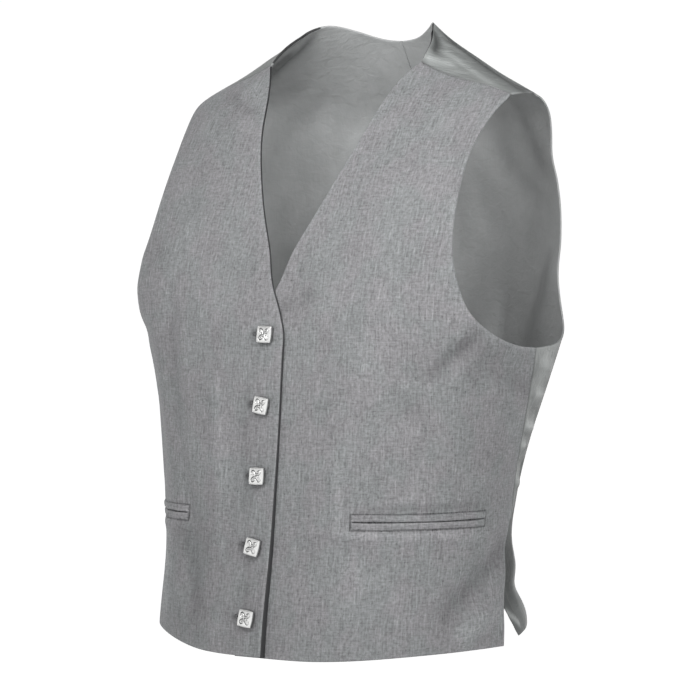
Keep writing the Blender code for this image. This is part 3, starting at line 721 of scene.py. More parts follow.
def build_panel(name, grid, points, side, walls, free, materials, lined, gap, back=False, shade=None, rim=1):
    """Closed shell of a panel: outer face, inner face and rounded edges.

    free tells for each border vertex whether the edge is a turned free edge,
    lined from which ring of the edge on the rim's material, by its slot, shows."""
    rows, cols = grid.shape[:2]
    angle, z = grid[..., 0], grid[..., 1]
    toward = outward(angle, z) * (side, 1, 1)
    n = normals_of(points, toward)
    loop = border(rows, cols)
    flat = points.reshape(-1, 3).copy()
    nf = n.reshape(-1, 3)
    q, nq = flat[loop], nf[loop]
    step = np.roll(q, -1, axis=0) - q
    step /= np.maximum(np.linalg.norm(step, axis=1, keepdims=True), 1e-9)
    e = np.cross(step, nq)
    e /= np.maximum(np.linalg.norm(e, axis=1, keepdims=True), 1e-9)
    k = cols // 2                                # a vertex of the foot edge
    if np.dot(e[k], points[1, k] - points[0, k]) > 0:
        e = -e
    before = np.roll(e, 1, axis=0)
    mitre = (e + before) / np.maximum(1 + (e * before).sum(1, keepdims=True), 0.45)
    at_edge = walls.reshape(-1)[loop]
    prof = [rim_profile(True, at_edge), rim_profile(False, at_edge)]
    out = np.where(free[:, None], prof[0][0], prof[1][0])
    deep = np.where(free[:, None], prof[0][1], prof[1][1])
    pull = np.where(free, np.minimum(at_edge / 2, 1.1), 0.55 + gap / 2)
    move = -mitre * pull[:, None]
    at, far = nearest(flat, q)                   # the cloth beside an edge follows its pull
    flat += move[at] * (1 - smooth(far / 9.0))[:, None]
    flat[loop] = q + move
    inner = flat - nf * walls.reshape(-1, 1)
    base = flat[loop]
    ring = [base + mitre * out[:, s:s + 1] - nq * deep[:, s:s + 1] for s in range(RIM_STEPS + 1)]
    inner[loop] = ring[-1]
    count, m = rows * cols, len(loop)
    verts = np.concatenate([flat, inner] + ring[1:-1])
    uv = weave_uv(angle, z, back).reshape(-1, 2)
    uvs = [uv, uv]
    for s in range(1, RIM_STEPS):
        edge_uv = uv[loop].copy()
        edge_uv[:, 0] += out[:, s] * 0.7 + deep[:, s] * 0.7
        edge_uv[:, 1] += deep[:, s] * 0.7
        uvs.append(edge_uv)
    turn = np.dot(np.cross(points[0, 1] - points[0, 0], points[1, 0] - points[0, 0]), toward[0, 0]) < 0
    faces = [grid_faces(rows, cols, 0, turn), grid_faces(rows, cols, count, not turn)]
    mats = [np.zeros(len(faces[0]), int), np.ones(len(faces[1]), int)]
    at = [loop] + [2 * count + m * s + np.arange(m) for s in range(RIM_STEPS - 1)] + [count + loop]
    for s in range(RIM_STEPS):
        a, b = at[s], at[s + 1]
        f = np.stack([a, b, np.roll(b, -1), np.roll(a, -1)], -1)
        faces.append(f[:, ::-1] if turn else f)
        mats.append(np.where(free & np.roll(free, -1) & (s >= lined), rim, 0))
    # distance to the nearest free edge and seam, for the pressed edges, the painted highlight along the free
    # edges, and the seams
    reach = 14.0
    best = np.minimum(nearest(flat, base[free])[1], reach)
    edge = np.concatenate([best, np.full(count, reach)] + [np.where(free, 0.0, reach)] * (RIM_STEPS - 1))
    best = np.minimum(nearest(flat, base[~free])[1], reach)
    sewn = np.concatenate([best, np.full(count, reach)] + [np.where(free, reach, 0.0)] * (RIM_STEPS - 1))
    a, b, c, d = (flat.reshape(rows, cols, 3)[s] for s in (
        np.s_[:-1, :-1], np.s_[:-1, 1:], np.s_[1:, 1:], np.s_[1:, :-1]))
    area = (np.linalg.norm(np.cross(c - a, d - b), axis=-1) / 2).sum() * 1e-6
    # painted shade and painted highlight shares, handed to the shader as the shade value
    painted_dim = np.zeros(count) if shade is None else shade.reshape(-1)
    painted_dim = np.concatenate([painted_dim, painted_dim] + [painted_dim[loop]] * (RIM_STEPS - 1))
    ob = make_mesh(name, verts, np.concatenate(faces), materials, np.concatenate(mats),
                   np.concatenate(uvs), {"edge_mm": edge, "sewn_mm": sewn, "shade": painted_dim})
    return ob, area, uv


# ---------------------------------------------------------------- materials
class Net:
    """A material's nodes, with short calls for the ones used here."""

    def __init__(self, name):
        self.material = bpy.data.materials.new(name)
        self.material.use_nodes = True
        self.tree = self.material.node_tree
        self.shader = self.tree.nodes["Principled BSDF"]

    def put(self, socket, value):
        if isinstance(value, bpy.types.NodeSocket):
            self.tree.links.new(value, socket)
        else:
            socket.default_value = value

    def add(self, kind, inputs=None, **settings):
        node = self.tree.nodes.new(kind)
        for key, value in settings.items():
            setattr(node, key, value)
        for key, value in (inputs or {}).items():
            self.put(node.inputs[key], value)
        return node

    def math(self, op, a, b=0.0, c=None):
        node = self.add("ShaderNodeMath", {0: a, 1: b}, operation=op)
        if c is not None:
            self.put(node.inputs[2], c)
        return node.outputs[0]

    def stretch(self, vector, across, up, shift=0.0):
        """Coordinates in cells of the given size in mm."""
        return self.add("ShaderNodeMapping", {"Vector": vector, "Scale": (1 / across, 1 / up, 1.0),
                                              "Location": (shift, shift * 0.37, 0.0)}).outputs[0]

    def noise(self, vector, detail=2.0, rough=0.5, twist=0.0):
        return self.add("ShaderNodeTexNoise", {"Vector": vector, "Scale": 1.0, "Detail": detail,
                                               "Roughness": rough, "Distortion": twist},
                        noise_dimensions="2D").outputs["Fac"]

    def ramp(self, value, low, high, to_low=0.0, to_high=1.0, kind="SMOOTHSTEP"):
        return self.add("ShaderNodeMapRange", {"Value": value, "From Min": low, "From Max": high,
                                               "To Min": to_low, "To Max": to_high},
                        interpolation_type=kind).outputs[0]

    def mix(self, factor, a, b, blend="MIX"):
        node = self.add("ShaderNodeMix", data_type="RGBA", blend_type=blend)
        self.put(node.inputs[0], factor)
        self.put(node.inputs[6], a)
        self.put(node.inputs[7], b)
        return node.outputs[2]

    def value_of(self, name):
        return self.add("ShaderNodeAttribute", attribute_name=name, attribute_type="GEOMETRY").outputs["Fac"]

    def sum(self, start, terms):
        """start + share * (value - 0.5) for each (value, share)."""
        total = start
        for value, share in terms:
            total = self.math("MULTIPLY_ADD", self.math("SUBTRACT", value, 0.5), share, total)
        return total

    def grey(self, value):
        return self.add("ShaderNodeCombineColor", {0: value, 1: value, 2: value}).outputs[0]

    def finish(self, **sockets):
        names = {"color": "Base Color", "rough": "Roughness", "metal": "Metallic", "normal": "Normal",
                 "sheen": "Sheen Weight", "sheen_rough": "Sheen Roughness", "sheen_tint": "Sheen Tint",
                 "specular": "Specular IOR Level", "coat": "Coat Weight", "coat_rough": "Coat Roughness",
                 "aniso": "Anisotropic"}
        for key, value in sockets.items():
            self.put(self.shader.inputs[names[key]], value)
        return self.material


def yarn_coordinates(net, across=False):
    """The weave map, with yarns that wander a little."""
    uv = net.add("ShaderNodeUVMap", uv_map="weave").outputs[0]
    split = net.add("ShaderNodeSeparateXYZ", {0: uv})
    u, v = split.outputs[0], split.outputs[1]
    bow_u = net.noise(net.stretch(uv, 26, 38, 3.1), 1.0)
    bow_v = net.noise(net.stretch(uv, 34, 22, 9.7), 1.0)
    u2 = net.math("MULTIPLY_ADD", bow_u, 2.4, u)
    v2 = net.math("MULTIPLY_ADD", bow_v, 2.0, v)
    pair = (v2, u2) if across else (u2, v2)
    yarn = net.add("ShaderNodeCombineXYZ", {0: pair[0], 1: pair[1]}).outputs[0]
    return uv, u, v, yarn


def wool_material(name, across=False, box=None, light=1.0):
    """Worsted heather: warp and weft of uneven greys, slubs, mottling, fuzz."""
    net = Net(name)
    uv, u, v, yarn = yarn_coordinates(net, across)
    warp_long = net.noise(net.stretch(yarn, 1.75, 21.0, 1.0), 2.0, 0.55)
    warp_fine = net.noise(net.stretch(yarn, 1.15, 7.0, 5.0), 1.0)
    weft_long = net.noise(net.stretch(yarn, 11.0, 1.5, 8.0), 2.0, 0.55)
    weft_fine = net.noise(net.stretch(yarn, 5.0, 1.1, 12.0), 1.0)
    heather = net.noise(net.stretch(yarn, 2.5, 3.2, 21.0), 3.0, 0.55)
    broad = net.noise(net.stretch(uv, 42.0, 60.0, 31.0), 2.0, 0.5)
    hue = net.noise(net.stretch(uv, 34.0, 40.0, 44.0), 2.0, 0.6)
    slub = net.ramp(net.noise(net.stretch(yarn, 1.7, 15.0, 60.0), 1.0), 0.63, 0.78)
    fleck = net.ramp(net.noise(net.stretch(yarn, 1.5, 2.0, 75.0), 1.0), 0.67, 0.80)
    tone = net.sum(1.0, [(warp_long, 0.60), (warp_fine, 0.36), (weft_long, 0.48), (weft_fine, 0.30),
                         (heather, 0.80), (broad, 0.22)])
    tone = net.math("MULTIPLY_ADD", slub, 0.22, tone)
    tone = net.math("MULTIPLY_ADD", fleck, -0.34, tone)
    # pressed and turned edges: painted highlight along the fold, a faint ridge inside it
    edge = net.value_of("edge_mm")
    wear_and_highlight = net.ramp(edge, 0.8, 3.4, 1.0, 0.0)
    tone = net.math("MULTIPLY_ADD", wear_and_highlight, 0.085, tone)
    seam = net.ramp(net.value_of("sewn_mm"), 0.0, 1.5, 1.0, 0.0)
    tone = net.math("MULTIPLY_ADD", seam, -0.22, tone)
    if box:
        # stitched-in line round the pocket, a dark joint with painted shade in its groove
        cu, cv, hu, hv = box
        du = net.math("SUBTRACT", net.math("ABSOLUTE", net.math("SUBTRACT", u, cu)), hu)
        dv = net.math("SUBTRACT", net.math("ABSOLUTE", net.math("SUBTRACT", v, cv)), hv)
        outside = net.math("MAXIMUM", du, dv)
        line = net.ramp(net.math("ABSOLUTE", net.math("SUBTRACT", outside, 0.35)), 0.55, 1.45, 1.0, 0.0)
        tone = net.math("MULTIPLY_ADD", line, -0.50, tone)
        # painted shade in the opening between the folds
        tone = net.math("MULTIPLY_ADD", net.ramp(outside, -1.9, -1.1, 1.0, 0.0), -0.70, tone)
    # painted shade (+) and painted highlight (-) from the shade value
    painted_shade_dim = net.math("MULTIPLY", net.value_of("shade"), net.ramp(heather, 0.2, 0.8, 0.85, 1.15))
    tone = net.math("MULTIPLY", tone, net.math("SUBTRACT", light, painted_shade_dim))
    ground = net.mix(net.ramp(hue, 0.36, 0.64), WOOL_COOL, WOOL_WARM)
    color = net.mix(1.0, ground, net.grey(tone), "MULTIPLY")
    # plain weave, one thread every 0.5 mm, raised by the slubs, and a nap
    split = net.add("ShaderNodeSeparateXYZ", {0: yarn})
    wu = net.math("SINE", net.math("MULTIPLY", split.outputs[0], 2 * pi / 1.0))
    wv = net.math("SINE", net.math("MULTIPLY", split.outputs[1], 2 * pi / 1.0))
    weave = net.math("MULTIPLY", wu, wv)
    nap = net.noise(net.stretch(uv, 0.45, 0.45, 90.0), 2.0, 0.7)
    height = net.sum(0.5, [(warp_long, 1.1), (warp_fine, 0.7), (weft_long, 0.8), (heather, 0.5), (nap, 0.45)])
    height = net.math("MULTIPLY_ADD", weave, 0.20, height)
    turned = net.ramp(edge, 6.2, 7.6, 0.55, 0.0)
    height = net.math("ADD", height, turned)
    bump = net.add("ShaderNodeBump", {"Strength": 0.55, "Distance": 0.00032, "Height": height})
    rough = net.sum(0.86, [(heather, 0.10)])
    return net.finish(color=color, rough=rough, normal=bump.outputs[0], sheen=0.22, sheen_rough=0.45,
                      sheen_tint=(0.86, 0.88, 0.90, 1.0), specular=0.30)


def satin_material(name, base, rough, deep=1.0):
    """Lining satin: smooth floats with a soft gloss, fine ribs and rumples."""
    net = Net(name)
    uv, u, v, yarn = yarn_coordinates(net)
    ribs = net.noise(net.stretch(yarn, 0.42, 16.0, 2.0), 1.0)
    picks = net.noise(net.stretch(yarn, 9.0, 0.6, 7.0), 1.0)
    broad = net.noise(net.stretch(uv, 30.0, 44.0, 15.0), 3.0, 0.55)
    rumple = net.noise(net.stretch(uv, 11.0, 8.0, 26.0), 3.0, 0.5, 0.6)
    crush = net.noise(net.stretch(uv, 4.2, 5.5, 52.0), 2.0, 0.5, 0.4)
    tone = net.sum(1.0, [(ribs, 0.16), (picks, 0.10), (broad, 0.30), (rumple, 0.14)])
    seam = net.ramp(net.value_of("sewn_mm"), 0.0, 1.6, 1.0, 0.0)
    tone = net.math("MULTIPLY_ADD", seam, -0.30, tone)
    # painted highlight along the free edges
    wear_and_highlight = net.ramp(net.value_of("edge_mm"), 0.4, 2.0, 1.0, 0.0)
    tone = net.math("MULTIPLY_ADD", wear_and_highlight, 0.06, tone)
    # painted shade beside the vents and along the folds, and painted highlight on some folds, from the shade value
    painted_dim = net.math("MULTIPLY", net.value_of("shade"), net.ramp(broad, 0.3, 0.7, 0.53, 0.63))
    tone = net.math("MULTIPLY", tone, net.math("SUBTRACT", 1.0, painted_dim))
    color = net.mix(1.0, base, net.grey(tone), "MULTIPLY")
    height = net.sum(0.5, [(rumple, 1.15 * deep), (crush, 0.45 * deep)])
    big = net.add("ShaderNodeBump", {"Strength": 0.50, "Distance": 0.0020, "Height": height})
    fine = net.sum(0.5, [(ribs, 0.8), (picks, 0.5)])
    bump = net.add("ShaderNodeBump", {"Strength": 0.35, "Distance": 0.00012, "Height": fine,
                                      "Normal": big.outputs[0]})
    gloss = net.sum(rough, [(broad, 0.16), (ribs, 0.10)])
    # the specular is lowered under painted shade, so that no reflection lightens it, and raised under painted
    # highlight
    shine = net.math("MAXIMUM", net.math("MULTIPLY_ADD", net.value_of("shade"), -0.86, 0.66), 0.02)
    return net.finish(color=color, rough=gloss, normal=bump.outputs[0], sheen=0.04, sheen_rough=0.35,
                      specular=shine)


def silver_material(name):
    """Cast white metal, dark in its hollows, with painted shade on its side walls, worn bright on top."""
    net = Net(name)
    place = net.add("ShaderNodeTexCoord").outputs["Object"]
    hollow_and_wall_shade = net.value_of("hollow_and_wall_shade")
    grain = net.add("ShaderNodeTexNoise", {"Vector": place, "Scale": 2600.0, "Detail": 3.0,
                                           "Roughness": 0.6}).outputs["Fac"]
    soft = net.add("ShaderNodeTexNoise", {"Vector": place, "Scale": 420.0, "Detail": 2.0}).outputs["Fac"]
    dark = net.math("MULTIPLY", hollow_and_wall_shade, net.ramp(soft, 0.25, 0.7, 0.72, 1.0))
    color = net.mix(dark, (0.90, 0.90, 0.89, 1.0), (0.070, 0.072, 0.074, 1.0))
    height = net.math("MULTIPLY_ADD", soft, 0.8, grain)
    bump = net.add("ShaderNodeBump", {"Strength": 0.35, "Distance": 0.00012, "Height": height})
    rough = net.math("MULTIPLY_ADD", hollow_and_wall_shade, 0.22, net.sum(0.30, [(grain, 0.25)]))
    return net.finish(color=color, rough=rough, metal=1.0, normal=bump.outputs[0])


def thread_material(name, tone, spread=0.5):
    """Twisted thread, or a slit's painted shade, in cloth grey."""
    net = Net(name)
    place = net.add("ShaderNodeTexCoord").outputs["Object"]
    twist = net.add("ShaderNodeTexNoise", {"Vector": place, "Scale": 1500.0, "Detail": 2.0}).outputs["Fac"]
    value = net.sum(1.0, [(twist, spread)])
    color = net.mix(1.0, (tone, tone * 1.01, tone * 1.03, 1.0), net.grey(value), "MULTIPLY")
    bump = net.add("ShaderNodeBump", {"Strength": 0.4, "Distance": 0.0001, "Height": twist})
    return net.finish(color=color, rough=0.8, normal=bump.outputs[0], sheen=0.15)


WOOL_COOL = (0.2290, 0.2365, 0.2400, 1.0)
WOOL_WARM = (0.2375, 0.2350, 0.2425, 1.0)
SATIN = (0.268, 0.280, 0.276, 1.0)
SATIN_REVERSE = (0.40, 0.41, 0.41, 1.0)
# near-black inner finish of the fronts; along the lap and neck edges it also stands as painted shade of the gap
# under the lap and of the edges
INSIDE_AND_GAP_SHADE = (0.030, 0.0305, 0.032, 1.0)

FINE_FRONT = {side: front_grid(side) for side in (1, -1)}
FINE_BACK = {side: back_grid(side) for side in (1, -1)}


def pocket_box():
    """Pocket outline on the weave map: centre and half sizes, mm."""
    low = weave_uv(np.array([POCKET_IN]), np.array([POCKET_Z - JET_HEIGHT - 0.3]))[0]
    high = weave_uv(np.array([POCKET_OUT]), np.array([POCKET_Z + JET_HEIGHT + 0.3]))[0]
    mid_in = weave_uv(np.array([POCKET_IN]), np.array([POCKET_Z]))[0]
    mid_out = weave_uv(np.array([POCKET_OUT]), np.array([POCKET_Z]))[0]
    return ((mid_in[0] + mid_out[0]) / 2, (low[1] + high[1]) / 2,
            (mid_out[0] - mid_in[0]) / 2, (high[1] - low[1]) / 2)


MAT_WOOL = wool_material("wool_front", box=pocket_box())
MAT_JET = wool_material("wool_jet", across=True, light=1.03)
MAT_SATIN = satin_material("satin_back", SATIN, 0.44)
MAT_REVERSE = satin_material("satin_reverse", SATIN_REVERSE, 0.50, 0.6)
MAT_INSIDE_AND_GAP_SHADE = satin_material("inside_front_and_gap_shade", INSIDE_AND_GAP_SHADE, 0.62, 0.5)
MAT_SILVER = silver_material("cast_silver")
MAT_THREAD = thread_material("buttonhole_thread", 0.135)
MAT_SLIT_SHADE = thread_material("buttonhole_slit_shade", 0.018, 0.3)

# ------------------------------------------------------------------- panels
SHEETS = []


def free_mask_front(rows, cols):
    """Border vertices of a front that lie on a turned, free edge."""
    free = np.ones(2 * (rows + cols) - 4, bool)
    foot = cols
    seam = slice(foot - 1 + FRONT_VENT, foot - 1 + FRONT_LOW + 1)
    free[seam] = False
    top = foot + rows - 1 - 1
    free[top:top + cols] = False
    return free


def free_mask_back(rows, cols):
    free = np.ones(2 * (rows + cols) - 4, bool)
    foot = cols
    free[foot - 1 + BACK_VENT: foot - 1 + BACK_LOW + 1] = False
    top = foot + rows - 1 - 1
    free[top:top + cols] = False
    # left column runs down from the top: neck edge first, then the centre seam
    left = top + cols - 1
    free[left + BACK_HIGH:] = False
    return free


def front_walls(side, grid, points):
    """Thickness of a front: fuller along the neck, and at the lap down to the front under it, so that the lap's
    dark edge fills the gap as painted shade.
    """
    step = np.linalg.norm(np.diff(points, axis=1), axis=-1)
    run = np.concatenate([np.zeros((len(step), 1)), np.cumsum(step, axis=1)], 1)
    z = grid[:, :1, 1]
    extra = 0.55 + 0 * z
    if side < 0:
        extra = extra + (lap_rise(z) + 0.15) * smooth((-280 - z) / 20)
    return WOOL_WALL + extra * (1 - smooth(run / 11.0))


def front_lined(rows, cols):
    """The lap and neck edge shows its dark inner side, painted shade of the gap and the edge; the other edges are
    wool.
    """
    lined = np.full(2 * (rows + cols) - 4, RIM_STEPS)
    start = cols + rows - 1 + cols - 1
    lined[start - 1:] = 1
    lined[0] = 1
    return lined


def back_walls(grid, points):
    """Thickness of a back: fuller at the neck edge over the shoulder."""
    step = np.linalg.norm(np.diff(points, axis=1), axis=-1)
    run = np.concatenate([np.zeros((len(step), 1)), np.cumsum(step, axis=1)], 1)
    over = 1 - smooth((grid[:, :1, 0] - 92.0) / 14.0)
    return SATIN_WALL + 0.9 * over * (1 - smooth(run / 10.0))


def back_rim(grid):
    """Where each border vertex's edge changes material, and to which: the neck
    edge over the shoulder shows the dark inner side, as painted shade along that edge."""
    rows, cols = grid.shape[:2]
    around = grid.reshape(-1, 2)[border(rows, cols)]
    start = cols + rows - 1 + cols - 2
    place = np.arange(len(around))
    dark = (place >= start) & (place <= start + BACK_HIGH) & (around[:, 0] < 97.0)
    return np.where(dark, 1, 4), np.where(dark, 2, 1)


for side, word in ((1, "left"), (-1, "right")):
    g = FINE_FRONT[side]
    pts = front_surface(side, g[..., 0], g[..., 1])
    ob, area, uv = build_panel("front_%s_cloth" % word, g, pts, side, front_walls(side, g, pts),
                               free_mask_front(*g.shape[:2]), [MAT_WOOL, MAT_INSIDE_AND_GAP_SHADE],
                               front_lined(*g.shape[:2]), SEAM_GAP, False,
                               painted_shading_at("front_%s" % word, g[..., 0], g[..., 1]))
    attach(ob, "root")
    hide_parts("front_%s" % word)
    SHEETS.append((ob, area, uv, "front_%s" % word))

for side, word in ((1, "left"), (-1, "right")):
    g = FINE_BACK[side]
    pts = back_surface(side, g[..., 0], g[..., 1])
    pts[:BACK_LOW + BACK_MID + 1, 0, 0] = 0.0
    # painted shade low on the satin beside the vent, where the front's edge stands over it
    low = smooth((-446 - g[..., 1]) / 40) * (1 - smooth((g[..., 0] - 106) / 14))
    low = low * (1.1 - 0.45 * smooth((-518 - g[..., 1]) / 26) * smooth((g[..., 0] - 98) / 9))
    # painted shade in the valleys of the satin's folds and painted highlight on their ridges
    low = low - 0.05 * drape("back_%s" % word, g[..., 0], g[..., 1]) * smooth((g[..., 0] - 106) / 8)
    lined, rim = back_rim(g)
    ob, area, uv = build_panel("back_%s_cloth" % word, g, pts, side, back_walls(g, pts),
                               free_mask_back(*g.shape[:2]), [MAT_SATIN, MAT_REVERSE, MAT_INSIDE_AND_GAP_SHADE],
                               lined, SEAM_GAP, True, low + painted_shading_at("back_%s" % word, g[..., 0], g[..., 1]), rim)
    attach(ob, "root")
    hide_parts("back_%s" % word)
    SHEETS.append((ob, area, uv, "back_%s" % word))


# ------------------------------------------------------------------ pockets
def surface_normal(side, angle, z):
    e = 0.15
    around = front_surface(side, angle + e, z) - front_surface(side, angle - e, z)
    up = front_surface(side, angle, z + 0.4) - front_surface(side, angle, z - 0.4)
    n = np.cross(around, up) * side
    return n / np.linalg.norm(n, axis=-1, keepdims=True)


def build_jet(name, side, upper):
    """Folded strip: sewn down along its outer edge, a soft fold at the slit."""
    along_n, across_n = 190, 18
    t = np.linspace(0, 1, along_n + 1)
    s = np.linspace(0, 1, across_n + 1)                # 0 at the slit, 1 at the seam
    a = POCKET_IN + (POCKET_OUT - POCKET_IN) * t
    # the slit gapes a little at both ends and closes in the middle
    gape = 0.20 + 0.42 * np.exp(-((t - 0.13) / 0.14) ** 2) + 0.45 * np.exp(-((t - 0.86) / 0.15) ** 2)
    gape = gape * smooth(t / 0.02) * smooth((1 - t) / 0.02) + 0.05
    bow = -0.55 * np.exp(-((t - 0.16) / 0.13) ** 2) + 0.35 * np.sin(pi * t) if not upper else \
        0.30 * np.sin(pi * t)
    sign = 1 if upper else -1
    z = POCKET_Z + sign * (gape[:, None] + (JET_HEIGHT + 0.3 - gape[:, None]) * s[None]) \
        + bow[:, None] * (s[None] if not upper else 1 - 0.6 * s[None])
    angle = a[:, None] + 0 * z
    end = np.minimum(smooth(t / 0.016), smooth((1 - t) / 0.016))[:, None] ** 0.5
    crown = np.sin(np.clip(s * 1.0, 0, 1) * pi) ** 0.55
    body = (0.30 + 0.95 * (1 - (2 * s - 0.86) ** 2 * 0.55)) * np.minimum(1, (np.sin(pi * np.clip(s, 0, 1)) * 2.4)) ** 0.5
    lumps = 0.10 * np.sin(t * 23.0 + 1.3) + 0.07 * np.sin(t * 51.0)
    top = np.maximum(body[None] * (1.0 + lumps[:, None]) * end, 0.0) + 0.12
    p = front_surface(side, angle, z)
    n = surface_normal(side, angle, z)
    outer = p + n * top[..., None]
    under = p + n * 0.06
    rows, cols = outer.shape[:2]
    count = rows * cols
    loop = border(rows, cols)
    uv = weave_uv(angle, z).reshape(-1, 2)
    turn = np.dot(np.cross(outer[0, 1] - outer[0, 0], outer[1, 0] - outer[0, 0]), n[0, 0]) < 0
    f = [grid_faces(rows, cols, 0, turn), grid_faces(rows, cols, count, not turn)]
    ring = np.stack([loop, count + loop, np.roll(count + loop, -1), np.roll(loop, -1)], -1)
    f.append(ring[:, ::-1] if turn else ring)
    s_all = np.broadcast_to(s[None], (rows, cols))
    # distance from the slit's fold for the painted highlight along it, and from the sewn edges for their dark line
    edge = np.minimum(s_all * 5.0, 9.0).reshape(-1)
    t_all = np.minimum(t, 1 - t)[:, None] * 125.0
    sewn = np.minimum((1 - s_all) * JET_HEIGHT, t_all).reshape(-1)
    ob = make_mesh(name, np.concatenate([outer.reshape(-1, 3), under.reshape(-1, 3)]), np.concatenate(f),
                   [MAT_JET], None, np.concatenate([uv, uv]),
                   {"edge_mm": np.concatenate([edge, edge]), "sewn_mm": np.concatenate([sewn, sewn])})
    return ob


JETS = {1: [], -1: []}
for side, word in ((1, "left"), (-1, "right")):
    for upper in (True, False):
        tag = "upper" if upper else "lower"
        jet = build_jet("pocket_%s_%s_fold" % (word, tag), side, upper)
        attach(jet, "root")
        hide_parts("pocket_%s_%s_jet" % (word, tag))
        JETS[side].append(jet)


# ------------------------------------------------- buttons and buttonholes
def button_place(index):
    """Matrix of a button: +Z out of the cloth, +Y up the front."""
    z = BUTTON_TOP_Z - index * BUTTON_PITCH
    p = torso(BUTTON_ANGLE, z) + outward(BUTTON_ANGLE, z) * LAP_LIFT
    n = Vector(outward(BUTTON_ANGLE, z))
    y = n.cross(Vector((1.0, 0.0, 0.0))).normalized()
    x = y.cross(n)
    m = Matrix((x, y, n)).transposed().to_4x4()
    m.translation = Vector(p) * 0.001
    turn = Matrix.Rotation(radians((-1.5, -9.0, 0.5, -11.0, -7.0)[index]), 4, "Z")
    return m @ turn


def knot_relief(x, y, reach, strand):
    """Height of a four-looped interlaced knot, 0 to 1, under and over."""
    t = np.linspace(0, 2 * pi, 480, endpoint=False)
    k = 1.9
    cx = (3 * np.cos(t) + k * np.cos(3 * t)) / (3 + k)
    cy = (3 * np.sin(t) - k * np.sin(3 * t)) / (3 + k)
    cx, cy = (cx - cy) * reach * 0.7071, (cx + cy) * reach * 0.7071
    over = np.sin(4 * t)
    d = np.hypot(x[..., None] - cx, y[..., None] - cy)
    near = d < strand * 1.45
    level = np.where(near, over[None, None], -9.0)
    top = np.argmax(level, axis=-1)
    best = np.take_along_axis(d, top[..., None], -1)[..., 0]
    # distance to the upper strand: the nearest of the samples beside the chosen one
    window = np.abs(((np.arange(len(t))[None, None] - top[..., None] + 240) % 480) - 240) < 34
    best = np.where(window, d, 99.0).min(-1)
    h = np.sqrt(np.maximum(1 - (best / strand) ** 2, 0.0))
    lift = 0.80 + 0.20 * np.take_along_axis(np.broadcast_to(over, d.shape), top[..., None], -1)[..., 0]
    return np.where(near.any(-1), h * lift, 0.0)


def button_arrays(seed):
    """Vertices, faces and hollow values of one button, mm, in its own place."""
    cells = 84
    line = np.sin(np.linspace(-1, 1, cells + 1) * pi / 2) * 0.35 + np.linspace(-1, 1, cells + 1) * 0.65
    u, v = np.meshgrid(line, line)
    half = BUTTON_SIDE / 2
    x = u * np.sqrt(1 - 0.14 * v * v) * half
    y = v * np.sqrt(1 - 0.14 * u * u) * half
    s = np.maximum(np.abs(u), np.abs(v))
    soft = (np.abs(u) ** 9 + np.abs(v) ** 9) ** (1 / 9)
    rise = smooth((1.0 - s) / 0.055) ** 0.7              # narrow rounded shoulder
    height = 0.95 + 2.10 * rise
    height = height + 0.50 * (1 - soft ** 2)             # gentle crown
    rng = np.random.default_rng(seed)
    px, py = rng.uniform(-7.0, 7.0, (2, 60))
    dents = np.exp(-((x[..., None] - px) ** 2 + (y[..., None] - py) ** 2) / 0.10).max(-1)
    strand = knot_relief(x, y, 5.6, 0.66)
    beside = smooth(knot_relief(x, y, 5.6, 1.65) / 0.62) * (1 - smooth(strand / 0.5))
    groove = np.exp(-((soft - 0.885) / 0.016) ** 2)      # fine line inside the edge
    wear_and_highlight = 1 - 0.60 * smooth((x - 1.4) / 3.2)            # rubbed smoother towards the lap's edge, and left plain bright there as a painted highlight
    height = height + wear_and_highlight * (0.22 * strand - 0.34 * beside) - 0.12 * groove - 0.05 * dents
    hollow_and_wall_shade = wear_and_highlight * np.maximum(0.92 * beside, 0.18 * strand) + 0.30 * groove * wear_and_highlight + 0.10 * dents
    # the left part a little darker than the worn right part, a painted highlight; painted shade on the narrow
    # shoulder
    hollow_and_wall_shade = hollow_and_wall_shade + 0.12 * (wear_and_highlight - 0.4) + 0.95 * (1 - rise)
    top = np.stack([x, y, BUTTON_STAND + height], -1)
    rows = cols = cells + 1
    loop = border(rows, cols)
    count = rows * cols
    rim = top.reshape(-1, 3)[loop]
    verts = [top.reshape(-1, 3)]
    dark = [hollow_and_wall_shade.reshape(-1)]
    # the side walls are fully dark: painted shade
    for drop, scale in ((0.62, 1.0), (0.28, 0.985), (0.06, 0.95), (0.0, 0.88)):
        ring = rim.copy()
        ring[:, :2] *= scale
        ring[:, 2] = BUTTON_STAND + drop
        verts.append(ring)
        dark.append(np.full(len(loop), 1.0))
    verts.append(np.array([[0.0, 0.0, BUTTON_STAND]]))
    dark.append(np.array([0.2]))
    at = [loop] + [count + len(loop) * k + np.arange(len(loop)) for k in range(4)]
    faces = [grid_faces(rows, cols)]
    for a, b in zip(at, at[1:]):
        faces.append(np.stack([a, b, np.roll(b, -1), np.roll(a, -1)], -1))
    hub = count + 4 * len(loop)
    last = at[-1]
    # the back is closed with quads that share the hub
    pairs = np.arange(0, len(last) - 1, 2)
    back = np.stack([last[pairs], np.full(len(pairs), hub), last[(pairs + 2) % len(last)], last[pairs + 1]], -1)
    faces.append(back)
    return np.concatenate(verts), np.concatenate(faces), np.concatenate(dark)


